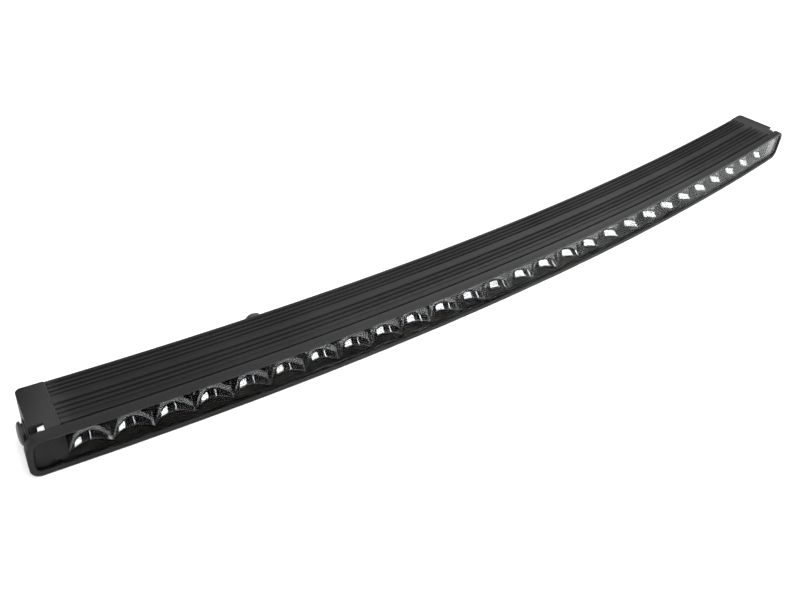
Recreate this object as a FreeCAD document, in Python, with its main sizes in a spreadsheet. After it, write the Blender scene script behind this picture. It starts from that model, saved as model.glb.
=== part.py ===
"""Curved single-row LED light bar, in millimetres.

The bar bends about an upright arc axis behind it. Every section is drawn as (radius from that
axis, height), so a depth behind the front face is the front radius less that depth. +X runs
along the bar, the light leaves towards -Y and +Z is up. The origin is on the underside of the
housing, in the middle of its wide flat land.
"""
import FreeCAD, Part
import Sketcher
import math
import os

VECTOR = FreeCAD.Vector
doc = FreeCAD.newDocument("LightBar")
sheet = doc.addObject("Spreadsheet::Sheet", "Sizes")

DIMENSIONS = {
    # the bar as a whole
    "front_radius": 3400, "bar_height": 34, "bar_depth": 53, "cell_pitch": 30,
    "cells_per_strip": 9, "strip_count": 3, "housing_half": 405.9, "cap_start": 406.6,
    "cap_end": 426, "land_depth": 32.1, "overcut": 1,
    # front bezel, its window and the lens behind it
    "bezel_half": 431.5, "bezel_depth": 7, "bezel_wall": 2, "bezel_lip": 1.2,
    "bezel_top_round": 12, "bezel_bottom_round": 8, "window_half": 427.4,
    "window_bottom": 4, "window_top": 30.5, "window_top_round": 9, "window_bottom_round": 5,
    "recess_half": 429.4, "lens_thickness": 2, "lens_gap": 0.3, "seal_thickness": 1.5,
    "seal_inner_half": 427.7, "seal_inner_bottom": 3.4, "seal_inner_top": 29.4,
    # housing section
    "nose_depth": 4.7, "seam_end": 8.2, "seam_floor": 31.7, "seam_chamfer": 1.3,
    "channel_bottom": 3.4, "channel_top": 29.1, "web_front": 22, "web_back": 26.5,
    "chamber_back": 48.5, "chamber_bottom": 4.5, "chamber_chamfer": 6.5,
    "groove_width": 1.9, "groove_draft": 0.35, "groove_depth": 1.8, "shallow_depth": 0.8,
    "ridge_drop": 0.5, "front_ridge_round": 2.35, "back_ridge_round": 1.35,
    "shallow_groove": 13.3, "front_groove": 18, "front_groove_pitch": 4.8,
    "back_groove": 36.6, "back_groove_pitch": 4, "back_round": 2, "rear_groove_height": 5.4,
    # end caps
    "cap_flange_half": 428.9, "cap_flange_front": 4.85, "cap_front": 7.15, "flange_overlap": 0.3,
    "cap_corner_round": 4, "cap_edge_round": 0.8, "notch_start": 9.4, "notch_back": 13.9,
    "notch_floor": 27.2, "cap_hollow": 6, "cap_skin": 0.5, "gasket_thickness": 0.7,
    "gasket_inset": 0.6, "gasket_mouth_margin": 2, "gasket_mouth_clearance": 0.1,
    # cap screws
    "front_screw_depth": 10.7, "front_screw_height": 30.9, "front_head_radius": 3,
    "front_head_length": 4.6, "rear_screw_depth": 46.6, "rear_screw_low": 6.4,
    "rear_screw_high": 27.6, "web_screw_depth": 24.25, "web_screw_height": 7.2,
    "screw_radius": 1.5, "screw_clearance": 0.05, "screw_hole_depth": 18, "screw_reach": 13.5,
    "screw_crown": 0.4, "sunk_head_radius": 3.2, "sunk_head_length": 2.4, "sunk_pocket": 3,
    "drive_socket": 2.5, "drive_depth": 1.6,
    # bracket bolts
    "bolt_depth": 28, "bolt_height": 16.2, "bolt_radius": 3.95, "bolt_thread": 4,
    "bolt_reach": 12, "bolt_tip_chamfer": 0.6, "bolt_head_radius": 8.6, "bolt_head_height": 3.4,
    "bolt_rim": 0.9, "bolt_dome_radius": 5.7,
    "bolt_socket": 5, "bolt_socket_depth": 2.2, "washer_radius": 9.3, "washer_bore": 4.25,
    "washer_thickness": 1.1, "spring_washer_radius": 6.9, "spring_washer_thickness": 1.3,
    "spring_washer_gap": 0.8, "insert_radius": 6, "insert_length": 12.5,
    # reflectors
    "reflector_front": 3.4, "reflector_back": 19.8, "reflector_bottom": 3.5,
    "reflector_top": 28.9, "cup_floor": 4.4, "cup_ceiling": 28, "cup_axis": 16.7,
    "cup_vertex": 19.3, "cup_focus": 7.5, "cup_reach": 23, "led_hole": 5, "strip_gap": 0.1,
    "shield_half": 427.3, "shield_front": 3.5, "shield_front_thickness": 1.2, "shield_wall": 1,
    # lamp boards
    "board_front": 19.9, "board_thickness": 1.6, "board_bottom": 4.2, "board_top": 28.4,
    "pad_thickness": 0.5, "pad_bottom": 6.2, "pad_top": 23.4, "led_base": 5,
    "led_base_height": 0.8, "dome_radius": 2.1,
    # driver in the rear chamber
    "driver_length": 150, "driver_front": 28.2, "driver_thickness": 1.6, "driver_bottom": 6,
    "driver_top": 28, "spacer_radius": 2.4, "spacer_place": 63, "spacer_gap": 0.7,
    "capacitor_count": 4, "capacitor_radius": 5, "capacitor_height": 13, "capacitor_pitch": 13,
    "capacitor_start": -58, "coil_radius": 8, "coil_wire": 2.6, "coil_lift": 0.05,
    "coil_place": 22, "chip_count": 3, "chip_length": 9, "chip_width": 8, "chip_height": 2.2,
    "chip_pitch": 14, "chip_start": 42,
    # cable gland and breather
    "gland_place": -240, "gland_height": 17, "gland_thread": 5.9, "gland_flange": 7.6,
    "gland_flange_height": 3, "gland_neck": 6.2, "gland_neck_height": 8, "gland_bore": 4.4,
    "wall_hole_clearance": 0.1, "seat_gap": 0.02, "nut_across_flats": 15, "nut_lift": 1.5,
    "nut_height": 8, "nut_shoulder": 7.2, "nut_crown": 2, "nut_crown_radius": 5.9,
    "nut_mouth": 3.6, "seal_bore": 3.25, "seal_length": 9,
    "breather_place": 240, "breather_radius": 6.5, "breather_height": 2.2,
    "breather_stem": 2.9, "breather_cap_radius": 5.4, "breather_cap_height": 2,
    "breather_cap_chamfer": 0.6,
}
for row, (alias, number) in enumerate(DIMENSIONS.items(), start=1):
    sheet.set(f"A{row}", alias)
    sheet.set(f"B{row}", str(number))
    sheet.setAlias(f"B{row}", alias)
doc.recompute()


class Size:
    """A length that carries the spreadsheet formula it comes from."""

    def __init__(self, value, formula):
        self.value = value
        self.formula = formula

    def combine(self, other, sign, result):
        other = other if isinstance(other, Size) else Size(other, repr(other))
        return Size(result(self.value, other.value), f"({self.formula} {sign} {other.formula})")

    def __add__(self, other):
        return self.combine(other, "+", lambda a, b: a + b)

    def __sub__(self, other):
        return self.combine(other, "-", lambda a, b: a - b)

    def __mul__(self, other):
        return self.combine(other, "*", lambda a, b: a * b)

    def __truediv__(self, other):
        return self.combine(other, "/", lambda a, b: a / b)


class Sheet:
    """Reads each spreadsheet cell as a Size, by its alias."""

    def __getattr__(self, alias):
        return Size(float(sheet.get(alias)), f"{sheet.Name}.{alias}")


S = Sheet()
ZERO = Size(0.0, "0")
FRONT_RADIUS = S.front_radius.value
ARC_AXIS_Y = FRONT_RADIUS - S.land_depth.value
HEIGHT = S.bar_height
OVERCUT = S.overcut
MIRROR = VECTOR(1, 0, 0)


# ---- places along the bar --------------------------------------------------------------------

def angle_of(distance):
    """Turn about the arc axis, in radians, for a distance along the front face."""
    return distance / FRONT_RADIUS


def ring_placement(distance=0.0):
    """Place for a body revolved about the arc axis and centred on its own +Y."""
    turn = FreeCAD.Rotation(VECTOR(0, 0, 1), 180 + math.degrees(angle_of(distance)))
    return FreeCAD.Placement(VECTOR(0, ARC_AXIS_Y, 0), turn)


def station(distance, depth=0.0, height=0.0):
    """Local frame on the bar: x outwards along it, y into its depth, z up."""
    turn = angle_of(distance)
    radius = FRONT_RADIUS - depth
    place = VECTOR(radius * math.sin(turn), ARC_AXIS_Y - radius * math.cos(turn), height)
    return FreeCAD.Placement(place, FreeCAD.Rotation(VECTOR(0, 0, 1), math.degrees(turn)))


def along_bar(distance, offset, depth, height):
    """Local frame at a station with +Z pointing outwards along the bar."""
    tilt = FreeCAD.Placement(VECTOR(offset, depth, height), FreeCAD.Rotation(VECTOR(0, 1, 0), 90))
    return station(distance).multiply(tilt)


def moved(placement, x=0.0, y=0.0, z=0.0):
    """The same frame, shifted along its own axes."""
    return placement.multiply(FreeCAD.Placement(VECTOR(x, y, z), FreeCAD.Rotation()))


def out_of_back(distance, height):
    """Local frame on the housing's back face with +Z pointing backwards. The seat gap keeps a
    flat flange clear of the hollow curve of that face."""
    depth = S.bar_depth.value + S.seat_gap.value
    tilt = FreeCAD.Placement(VECTOR(0, depth, height), FreeCAD.Rotation(VECTOR(1, 0, 0), -90))
    return station(distance).multiply(tilt)


def out_of_board(distance, depth, height):
    """Local frame inside the bar with +Z pointing forwards, the way the light leaves."""
    tilt = FreeCAD.Placement(VECTOR(0, depth, height), FreeCAD.Rotation(VECTOR(1, 0, 0), 90))
    return station(distance).multiply(tilt)


# ---- sketches and bodies ---------------------------------------------------------------------

def origin_feature(body, role):
    return next(item for item in body.Origin.OriginFeatures if item.Role == role)


def fix_coordinate(sketch, kind, segment, end, size, name):
    """Ties one coordinate of a sketch point to its formula, or to the axis when it is zero."""
    if abs(size.value) < 1e-9:
        axis = -2 if kind == "DistanceX" else -1
        sketch.addConstraint(Sketcher.Constraint("PointOnObject", segment, end, axis))
        return
    number = sketch.addConstraint(Sketcher.Constraint(kind, -1, 1, segment, end, size.value))
    sketch.renameConstraint(number, name)
    sketch.setExpression(f"Constraints.{name}", size.formula)


def add_outline(sketch, points, curves=None, tag="p"):
    """Closed outline through (x, y) sizes. curves[i] = (radius, side) bends the segment that
    leaves point i: side 1 bulges to its right, side -1 to its left."""
    curves = curves or {}
    ends = []
    for i, start in enumerate(points):
        stop = points[(i + 1) % len(points)]
        p0 = VECTOR(start[0].value, start[1].value, 0)
        p1 = VECTOR(stop[0].value, stop[1].value, 0)
        if i not in curves:
            segment = sketch.addGeometry(Part.LineSegment(p0, p1), False)
            ends.append((segment, 1, 2))
            continue
        radius, side = curves[i]
        chord = p1 - p0
        left = VECTOR(-chord.y, chord.x, 0).normalize()
        rise = math.sqrt(max(radius.value ** 2 - (chord.Length / 2) ** 2, 0.0))
        centre = (p0 + p1) * 0.5 + left * (side * rise)
        first, last = (p0, p1) if side == 1 else (p1, p0)
        a0 = math.atan2(first.y - centre.y, first.x - centre.x)
        a1 = math.atan2(last.y - centre.y, last.x - centre.x)
        circle = Part.Circle(centre, VECTOR(0, 0, 1), radius.value)
        segment = sketch.addGeometry(Part.ArcOfCircle(circle, a0, a1), False)
        ends.append((segment, 1, 2) if side == 1 else (segment, 2, 1))
    for i, (segment, head, _) in enumerate(ends):
        previous, _, tail = ends[i - 1]
        sketch.addConstraint(Sketcher.Constraint("Coincident", previous, tail, segment, head))
        fix_coordinate(sketch, "DistanceX", segment, head, points[i][0], f"{tag}x{i}")
        fix_coordinate(sketch, "DistanceY", segment, head, points[i][1], f"{tag}y{i}")
        if i in curves:
            radius = curves[i][0]
            number = sketch.addConstraint(Sketcher.Constraint("Radius", segment, radius.value))
            sketch.renameConstraint(number, f"{tag}r{i}")
            sketch.setExpression(f"Constraints.{tag}r{i}", radius.formula)


def add_circle(sketch, x, y, radius, tag):
    circle = Part.Circle(VECTOR(x.value, y.value, 0), VECTOR(0, 0, 1), radius.value)
    segment = sketch.addGeometry(circle, False)
    fix_coordinate(sketch, "DistanceX", segment, 3, x, f"{tag}x")
    fix_coordinate(sketch, "DistanceY", segment, 3, y, f"{tag}y")
    number = sketch.addConstraint(Sketcher.Constraint("Radius", segment, radius.value))
    sketch.renameConstraint(number, f"{tag}r")
    sketch.setExpression(f"Constraints.{tag}r", radius.formula)


def new_body(name):
    return doc.addObject("PartDesign::Body", name)


def new_sketch(body, name, plane):
    sketch = body.newObject("Sketcher::SketchObject", name)
    sketch.AttachmentSupport = (origin_feature(body, plane), [""])
    sketch.MapMode = "FlatFace"
    return sketch


def revolve(body, sketch, name, half_angle=None):
    """Revolves a sketch about its upright axis, all round or by half_angle each way."""
    turn = body.newObject("PartDesign::Revolution", name)
    turn.Profile = sketch
    turn.ReferenceAxis = (sketch, ["V_Axis"])
    if half_angle is None:
        turn.Angle = 360
    else:
        turn.Midplane = True
        turn.setExpression("Angle", (half_angle * 2).formula)
    return turn


def pad(body, sketch, name, length):
    feature = body.newObject("PartDesign::Pad", name)
    feature.Profile = sketch
    feature.setExpression("Length", length.formula)
    return feature


def pocket(body, sketch, name, length):
    """Cuts from the sketch plane into the solid, and proves that it removed something."""
    doc.recompute()
    before = body.Shape.Volume
    feature = body.newObject("PartDesign::Pocket", name)
    feature.Profile = sketch
    feature.setExpression("Length", length.formula)
    doc.recompute()
    if body.Shape.Volume > before - 1e-6:
        feature.Reversed = True
        doc.recompute()
    if body.Shape.Volume > before - 1e-6:
        raise RuntimeError(f"{name} removed nothing")
    return feature


def half_angle_of(half_length):
    return half_length * (180 / math.pi) / S.front_radius


def rectangle(x0, x1, y0, y1):
    return [(x0, y0), (x1, y0), (x1, y1), (x0, y1)]


def flat_end_edges(shape, height):
    """Names of the straight radial edges at both ends of a curved slab, at one height."""
    names = []
    for number, edge in enumerate(shape.Edges, start=1):
        box = edge.BoundBox
        straight = edge.Curve.TypeId == "Part::GeomLine"
        if straight and abs(box.ZMin - height) < 1e-4 and abs(box.ZMax - height) < 1e-4:
            names.append(f"Edge{number}")
    return names


def curved_slab(name, depths, heights, half_length, rounds=None, distance=0.0):
    """Plate that follows the bar's curve: depth range, height range and half its length.
    rounds = (bottom radius, top radius) rounds its four end corners."""
    body = new_body(name)
    sketch = new_sketch(body, f"{name}_section", "YZ_Plane")
    inner = S.front_radius - depths[1]
    outer = S.front_radius - depths[0]
    add_outline(sketch, rectangle(inner, outer, heights[0], heights[1]))
    base = revolve(body, sketch, f"{name}_sweep", half_angle_of(half_length))
    doc.recompute()
    if rounds:
        for end, height, radius in zip(("low", "high"), heights, rounds):
            corner = body.newObject("PartDesign::Fillet", f"{name}_{end}_corners")
            corner.Base = (base, flat_end_edges(base.Shape, height.value))
            corner.setExpression("Radius", radius.formula)
            doc.recompute()
            base = corner
    body.Placement = ring_placement(distance)
    return body


def cut(name, base, *tools):
    """One solid less others, kept as a parametric Part cut."""
    if len(tools) == 1:
        tool = tools[0]
    else:
        tool = doc.addObject("Part::Compound", f"{name}_tools")
        tool.Links = list(tools)
    result = doc.addObject("Part::Cut", name)
    result.Base = base
    result.Tool = tool
    doc.recompute()
    return result


def group(name, members):
    """Several identical or fixed-together solids kept as one sub-part."""
    result = doc.addObject("Part::Compound", name)
    result.Links = members
    doc.recompute()
    return result


def cylinder(name, radius, length, placement):
    result = doc.addObject("Part::Cylinder", name)
    result.setExpression("Radius", radius.formula)
    result.setExpression("Height", length.formula)
    result.Placement = placement
    return result


def block(name, sizes, placement):
    """Rectangular block of (length, width, height) with a corner at its frame's origin."""
    result = doc.addObject("Part::Box", name)
    for side, size in zip(("Length", "Width", "Height"), sizes):
        result.setExpression(side, size.formula)
    result.Placement = placement
    return result


def turned_body(name, points, placement, curves=None):
    """Solid of revolution about its own +Z from (radius, height) points."""
    body = new_body(name)
    sketch = new_sketch(body, f"{name}_profile", "XZ_Plane")
    add_outline(sketch, points, curves)
    revolve(body, sketch, f"{name}_turn")
    doc.recompute()
    body.Placement = placement
    return body


def hexagon(across_flats):
    """Corner points of a hexagon centred on the sketch origin."""
    corner = across_flats / math.sqrt(3)
    angles = [math.radians(60 * i + 30) for i in range(6)]
    return [(corner * round(math.cos(a), 12), corner * round(math.sin(a), 12)) for a in angles]


def mirrored(name, source):
    """The same piece at the left end of the bar."""
    result = doc.addObject("Part::Mirroring", name)
    result.Source = source
    result.Normal = MIRROR
    result.Base = VECTOR(0, 0, 0)
    doc.recompute()
    return result


PARTS = {}


def keep(node, piece):
    """Marks a finished sub-part and gives it the label that names its file."""
    piece.Label = node
    PARTS[node] = piece


def keep_both_ends(node, piece):
    keep(f"right_{node}", piece)
    keep(f"left_{node}", mirrored(f"left_{node}_mirror", piece))


# ---- housing ---------------------------------------------------------------------------------

def groove_points():
    """Top surface from front to back as (depth, drop) sizes, with the ridge crowns' radii."""
    half = S.groove_width / 2
    grooves = [(S.shallow_groove, S.shallow_depth)]
    grooves += [(S.front_groove + S.front_groove_pitch * i, S.groove_depth) for i in range(3)]
    grooves += [(S.back_groove + S.back_groove_pitch * i, S.groove_depth) for i in range(4)]
    crowned = {1: S.front_ridge_round, 2: S.front_ridge_round, 4: S.back_ridge_round,
               5: S.back_ridge_round, 6: S.back_ridge_round}
    points, crowns = [], {}
    for i, (centre, depth) in enumerate(grooves):
        entry = S.ridge_drop if i - 1 in crowned else ZERO
        leave = S.ridge_drop if i in crowned else ZERO
        points.append((centre - half, entry))
        points.append((centre - half + S.groove_draft, depth))
        points.append((centre + half - S.groove_draft, depth))
        if i in crowned:
            crowns[len(points)] = crowned[i]
        points.append((centre + half, leave))
    return points, crowns


def housing_section(sketch):
    top, crowns = groove_points()
    count = len(top)
    radius = S.front_radius
    points = [(radius - S.seam_end - S.seam_chamfer, HEIGHT)]
    points += [(radius - depth, HEIGHT - drop) for depth, drop in top]
    curves = {number + 1: (crown, -1) for number, crown in crowns.items()}
    back = radius - S.bar_depth
    corner = len(points)
    points += [(back + S.back_round, HEIGHT), (back, HEIGHT - S.back_round)]
    curves[corner] = (S.back_round, 1)
    notch = S.groove_width
    for low in (HEIGHT - S.rear_groove_height, S.rear_groove_height + notch):
        points += [(back, low), (back + S.groove_depth, low - S.groove_draft),
                   (back + S.groove_depth, low - notch + S.groove_draft), (back, low - notch)]
    corner = len(points)
    points += [(back, S.back_round), (back + S.back_round, ZERO)]
    curves[corner] = (S.back_round, 1)
    start = len(points)
    points += [(radius - depth, drop) for depth, drop in reversed(top)]
    curves.update({start + count - 2 - number: (crown, -1) for number, crown in crowns.items()})
    seam = radius - S.seam_end
    nose = radius - S.nose_depth
    web = radius - S.web_front
    points += [
        (seam - S.seam_chamfer, ZERO), (seam, S.seam_chamfer),
        (seam, HEIGHT - S.seam_floor), (nose, HEIGHT - S.seam_floor),
        (nose, S.channel_bottom), (web, S.channel_bottom), (web, S.channel_top),
        (nose, S.channel_top), (nose, S.seam_floor), (seam, S.seam_floor),
        (seam, HEIGHT - S.seam_chamfer),
    ]
    add_outline(sketch, points, curves)
    front = radius - S.web_back
    rear = radius - S.chamber_back
    low = S.chamber_bottom
    high = HEIGHT - low
    bevel = S.chamber_chamfer
    chamber = [(front, low), (rear + bevel, low), (rear, low + bevel),
               (rear, high - bevel), (rear + bevel, high), (front, high)]
    add_outline(sketch, chamber, tag="c")


def cap_screw_axes():
    """(depth, height) of the four screws that hold each end cap."""
    return [(S.front_screw_depth, S.front_screw_height), (S.rear_screw_depth, S.rear_screw_high),
            (S.rear_screw_depth, S.rear_screw_low), (S.web_screw_depth, S.web_screw_height)]


def make_housing():
    body = new_body("housing_body")
    sketch = new_sketch(body, "housing_section", "YZ_Plane")
    housing_section(sketch)
    revolve(body, sketch, "housing_sweep", half_angle_of(S.housing_half))
    doc.recompute()
    body.Placement = ring_placement()
    bore = S.screw_radius + S.screw_clearance
    reach = S.screw_hole_depth
    holes = []
    for i, (depth, height) in enumerate(cap_screw_axes()):
        place = along_bar(S.housing_half.value, -reach.value, depth.value, height.value)
        hole = cylinder(f"right_screw_hole_{i + 1}", bore, reach + OVERCUT, place)
        holes += [hole, mirrored(f"left_screw_hole_{i + 1}", hole)]
    wall = S.bar_depth - S.chamber_back
    for name, distance, stem in (("gland_hole", S.gland_place, S.gland_thread),
                                 ("breather_hole", S.breather_place, S.breather_stem)):
        place = out_of_back(distance.value, S.gland_height.value)
        place = moved(place, z=-(wall + OVERCUT).value)
        holes.append(cylinder(name, stem + S.wall_hole_clearance, wall + OVERCUT * 2, place))
    keep("housing", cut("housing_cut", body, *holes))


# ---- bezel, lens and seal --------------------------------------------------------------------

def make_front():
    recess_rounds = (S.bezel_bottom_round - S.bezel_wall, S.bezel_top_round - S.bezel_wall)
    window_rounds = (S.window_bottom_round, S.window_top_round)
    floor = S.bezel_wall
    roof = HEIGHT - S.bezel_wall
    outer = curved_slab("bezel_outer", (ZERO, S.bezel_depth), (ZERO, HEIGHT), S.bezel_half,
                        (S.bezel_bottom_round, S.bezel_top_round))
    recess = curved_slab("bezel_recess", (S.bezel_lip, S.bezel_depth + OVERCUT), (floor, roof),
                         S.recess_half, recess_rounds)
    window = curved_slab("bezel_window", (ZERO - OVERCUT, S.bezel_lip + OVERCUT),
                         (S.window_bottom, S.window_top), S.window_half, window_rounds)
    opened = cut("bezel_shell", outer, recess)
    keep("front_bezel", cut("bezel_frame", opened, window))
    lens_back = S.bezel_lip + S.lens_thickness
    lens_rounds = (recess_rounds[0] - S.lens_gap, recess_rounds[1] - S.lens_gap)
    lens_heights = (floor + S.lens_gap, roof - S.lens_gap)
    keep("lens", curved_slab("lens_body", (S.bezel_lip, lens_back), lens_heights,
                             S.recess_half - S.lens_gap, lens_rounds))
    ring = curved_slab("seal_outer", (lens_back, lens_back + S.seal_thickness), lens_heights,
                       S.recess_half - S.lens_gap, lens_rounds)
    hole_depths = (lens_back - OVERCUT, lens_back + S.seal_thickness + OVERCUT)
    hole = curved_slab("seal_hole", hole_depths, (S.seal_inner_bottom, S.seal_inner_top),
                       S.seal_inner_half, window_rounds)
    keep("lens_seal", cut("lens_seal_ring", ring, hole))


# ---- end caps --------------------------------------------------------------------------------

def level_edges_away_from(shape, inner_face, front):
    """Names of the level edges that are neither on the inner face nor along the front."""
    names = []
    for number, edge in enumerate(shape.Edges, start=1):
        box = edge.BoundBox
        if box.ZLength < 1e-6 and box.XMax > inner_face + 0.01 and box.YMax > front + 0.01:
            names.append(f"Edge{number}")
    return names


def cap_flange():
    """Plate behind the bezel's end, with its outer corners rounded to follow the recess."""
    low = S.bezel_wall + S.lens_gap
    depth = S.cap_front - S.cap_flange_front + S.flange_overlap
    place = moved(station(S.cap_start.value), y=S.cap_flange_front.value, z=low.value)
    plate = block("cap_flange", (S.cap_flange_half - S.cap_start, depth, HEIGHT - low * 2), place)
    doc.recompute()
    rounds = []
    for number, edge in enumerate(plate.Shape.Edges, start=1):
        middle = place.inverse().multVec(edge.CenterOfMass)
        along_depth = abs(middle.y - depth.value / 2) < 1e-6
        if along_depth and middle.x > depth.value:
            corner = S.bezel_top_round if middle.z > HEIGHT.value / 2 else S.bezel_bottom_round
            radius = (corner - S.bezel_wall - S.lens_gap * 2).value
            rounds.append((number, radius, radius))
    rounded = doc.addObject("Part::Fillet", "cap_flange_rounded")
    rounded.Base = plate
    rounded.Edges = rounds
    return rounded


def cap_tools(length):
    """Everything cut out of the end cap: notch, hollow, screw ways, pockets and insert bore."""
    start = station(S.cap_start.value)
    notch = moved(start, S.notch_start.value, S.cap_front.value, S.notch_floor.value)
    hollow = moved(start, -OVERCUT.value, S.web_back.value, S.chamber_bottom.value)
    tools = [
        block("cap_notch", (length - S.notch_start + OVERCUT, S.notch_back - S.cap_front,
                            HEIGHT - S.notch_floor + OVERCUT), notch),
        block("cap_hollow", (S.cap_hollow + OVERCUT,
                             S.chamber_back - S.web_back - S.chamber_chamfer,
                             HEIGHT - S.chamber_bottom * 2), hollow)]
    bore = S.screw_radius + S.screw_clearance
    head = S.sunk_head_radius + S.screw_clearance
    for i, (depth, height) in enumerate(cap_screw_axes()):
        way = along_bar(S.cap_start.value, -OVERCUT.value, depth.value, height.value)
        tools.append(cylinder(f"cap_screw_way_{i + 1}", bore, length + OVERCUT - S.cap_skin, way))
        if i > 0:
            sink = along_bar(S.cap_start.value, (length - S.sunk_pocket).value, depth.value,
                             height.value)
            tools.append(cylinder(f"cap_screw_pocket_{i + 1}", head, S.sunk_pocket + OVERCUT,
                                  sink))
    socket = along_bar(S.cap_start.value, (length - S.insert_length).value, S.bolt_depth.value,
                       S.bolt_height.value)
    tools.append(cylinder("cap_insert_bore", S.insert_radius, S.insert_length + OVERCUT, socket))
    return tools


def make_end_caps():
    length = S.cap_end - S.cap_start
    body = new_body("right_cap_body")
    plan = new_sketch(body, "cap_plan", "XY_Plane")
    corner = S.cap_corner_round
    add_outline(plan, [(ZERO, S.cap_front), (length, S.cap_front),
                       (length, S.bar_depth - corner), (length - corner, S.bar_depth),
                       (ZERO, S.bar_depth)], {2: (corner, 1)})
    slab = pad(body, plan, "cap_block", HEIGHT)
    doc.recompute()
    rounded = body.newObject("PartDesign::Fillet", "cap_edges")
    rounded.Base = (slab, level_edges_away_from(slab.Shape, 0, S.cap_front.value))
    rounded.setExpression("Radius", S.cap_edge_round.formula)
    doc.recompute()
    body.Placement = station(S.cap_start.value)
    joined = doc.addObject("Part::Fuse", "cap_with_flange")
    joined.Base = body
    joined.Tool = cap_flange()
    doc.recompute()
    shape = joined
    for i, tool in enumerate(cap_tools(length)):
        shape = cut(f"cap_cut_{i + 1}", shape, tool)
    keep_both_ends("end_cap", shape)


def make_cap_gaskets():
    body = new_body("right_gasket_body")
    sketch = new_sketch(body, "gasket_outline", "YZ_Plane")
    inset = S.gasket_inset
    add_outline(sketch, rectangle(S.seam_end + inset, S.bar_depth - inset, inset, HEIGHT - inset))
    bevel = S.chamber_chamfer
    low = S.chamber_bottom
    add_outline(sketch, [(S.web_back, low), (S.chamber_back - bevel, low),
                         (S.chamber_back, low + bevel), (S.chamber_back, HEIGHT - low - bevel),
                         (S.chamber_back - bevel, HEIGHT - low), (S.web_back, HEIGHT - low)],
                tag="c")
    for i, (depth, height) in enumerate(cap_screw_axes()):
        add_circle(sketch, depth, height, S.screw_radius + S.screw_clearance, f"s{i}_")
    pad(body, sketch, "gasket_sheet", S.gasket_thickness)
    doc.recompute()
    body.Placement = station(S.housing_half.value)
    margin = S.gasket_mouth_margin
    place = moved(station(S.housing_half.value), -OVERCUT.value, (S.seam_end - margin).value,
                  S.channel_bottom.value)
    mouth = block("gasket_mouth", (
        S.gasket_thickness + OVERCUT * 2, S.web_front - S.seam_end + margin,
        S.reflector_top - S.channel_bottom + S.gasket_mouth_clearance), place)
    keep_both_ends("cap_gasket", cut("gasket_cut", body, mouth))


def socket_screw(name, head_radius, head_length, placement, shank_length):
    """Round-headed machine screw with a hexagon socket, head on +Z."""
    shank = S.screw_radius
    crown = S.screw_crown
    body = new_body(name)
    profile = new_sketch(body, f"{name}_profile", "XZ_Plane")
    add_outline(profile, [(ZERO, ZERO - shank_length), (shank, ZERO - shank_length),
                          (shank, ZERO), (head_radius, ZERO),
                          (head_radius, head_length - crown),
                          (head_radius - crown, head_length), (ZERO, head_length)])
    revolve(body, profile, f"{name}_turn")
    drive = new_sketch(body, f"{name}_socket", "XY_Plane")
    add_outline(drive, hexagon(S.drive_socket))
    drive.setExpression("AttachmentOffset.Base.z", head_length.formula)
    pocket(body, drive, f"{name}_drive", S.drive_depth)
    body.Placement = placement
    return body


def make_cap_screws():
    length = S.cap_end - S.cap_start
    screws = []
    for i, (depth, height) in enumerate(cap_screw_axes()):
        if i == 0:
            seat, radius, head = S.notch_start, S.front_head_radius, S.front_head_length
        else:
            seat = length - S.sunk_pocket
            radius, head = S.sunk_head_radius, S.sunk_head_length
        place = along_bar(S.cap_start.value, seat.value, depth.value, height.value)
        screws.append(socket_screw(f"cap_screw_{i + 1}", radius, head, place,
                                   seat + S.screw_reach))
    keep_both_ends("cap_screws", group("right_cap_screw_set", screws))


# ---- bracket bolts ---------------------------------------------------------------------------

def make_bracket_bolts():
    length = S.cap_end - S.cap_start
    face = along_bar(S.cap_start.value, length.value, S.bolt_depth.value, S.bolt_height.value)
    stack = S.washer_thickness + S.spring_washer_thickness
    insert = turned_body("right_insert_body", rectangle(
        S.bolt_thread, S.insert_radius, ZERO - S.insert_length, ZERO), face)
    keep_both_ends("bolt_insert", insert)
    flat = turned_body("right_flat_washer", rectangle(
        S.washer_bore, S.washer_radius, ZERO, S.washer_thickness), face)
    split = turned_body("right_split_ring", rectangle(
        S.washer_bore, S.spring_washer_radius, S.washer_thickness, stack), face)
    gap = block("split_washer_gap", (S.spring_washer_radius, S.spring_washer_gap,
                                     S.spring_washer_thickness + OVERCUT * 2),
                moved(face, z=(S.washer_thickness - OVERCUT).value))
    spring = cut("right_split_washer", split, gap)
    keep_both_ends("bolt_washers", group("right_washer_pair", [flat, spring]))
    body = new_body("right_bolt_body")
    profile = new_sketch(body, "bolt_profile", "XZ_Plane")
    top = stack + S.bolt_head_height
    head = S.bolt_head_radius
    tip = ZERO - S.bolt_reach
    chamfer = S.bolt_tip_chamfer
    add_outline(profile, [(ZERO, tip), (S.bolt_radius - chamfer, tip),
                          (S.bolt_radius, tip + chamfer), (S.bolt_radius, stack),
                          (head, stack), (head, stack + S.bolt_rim), (S.bolt_socket, top),
                          (ZERO, top)],
                {5: (S.bolt_dome_radius, 1)})
    revolve(body, profile, "bolt_turn")
    drive = new_sketch(body, "bolt_socket", "XY_Plane")
    add_outline(drive, hexagon(S.bolt_socket))
    drive.setExpression("AttachmentOffset.Base.z", top.formula)
    pocket(body, drive, "bolt_drive", S.bolt_socket_depth)
    body.Placement = face
    keep_both_ends("bracket_bolt", body)


# ---- reflectors, shields and lamps -----------------------------------------------------------

def cell_distances(strip):
    """Distances along the bar of one strip's cell centres."""
    per_strip = int(S.cells_per_strip.value)
    first = -(per_strip * S.strip_count.value - 1) / 2 + strip * per_strip
    return [(first + i) * S.cell_pitch.value for i in range(per_strip)]


def strip_centre(strip):
    return sum(cell_distances(strip)) / S.cells_per_strip.value


def strip_half():
    return S.cell_pitch * S.cells_per_strip / 2 - S.strip_gap


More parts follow.
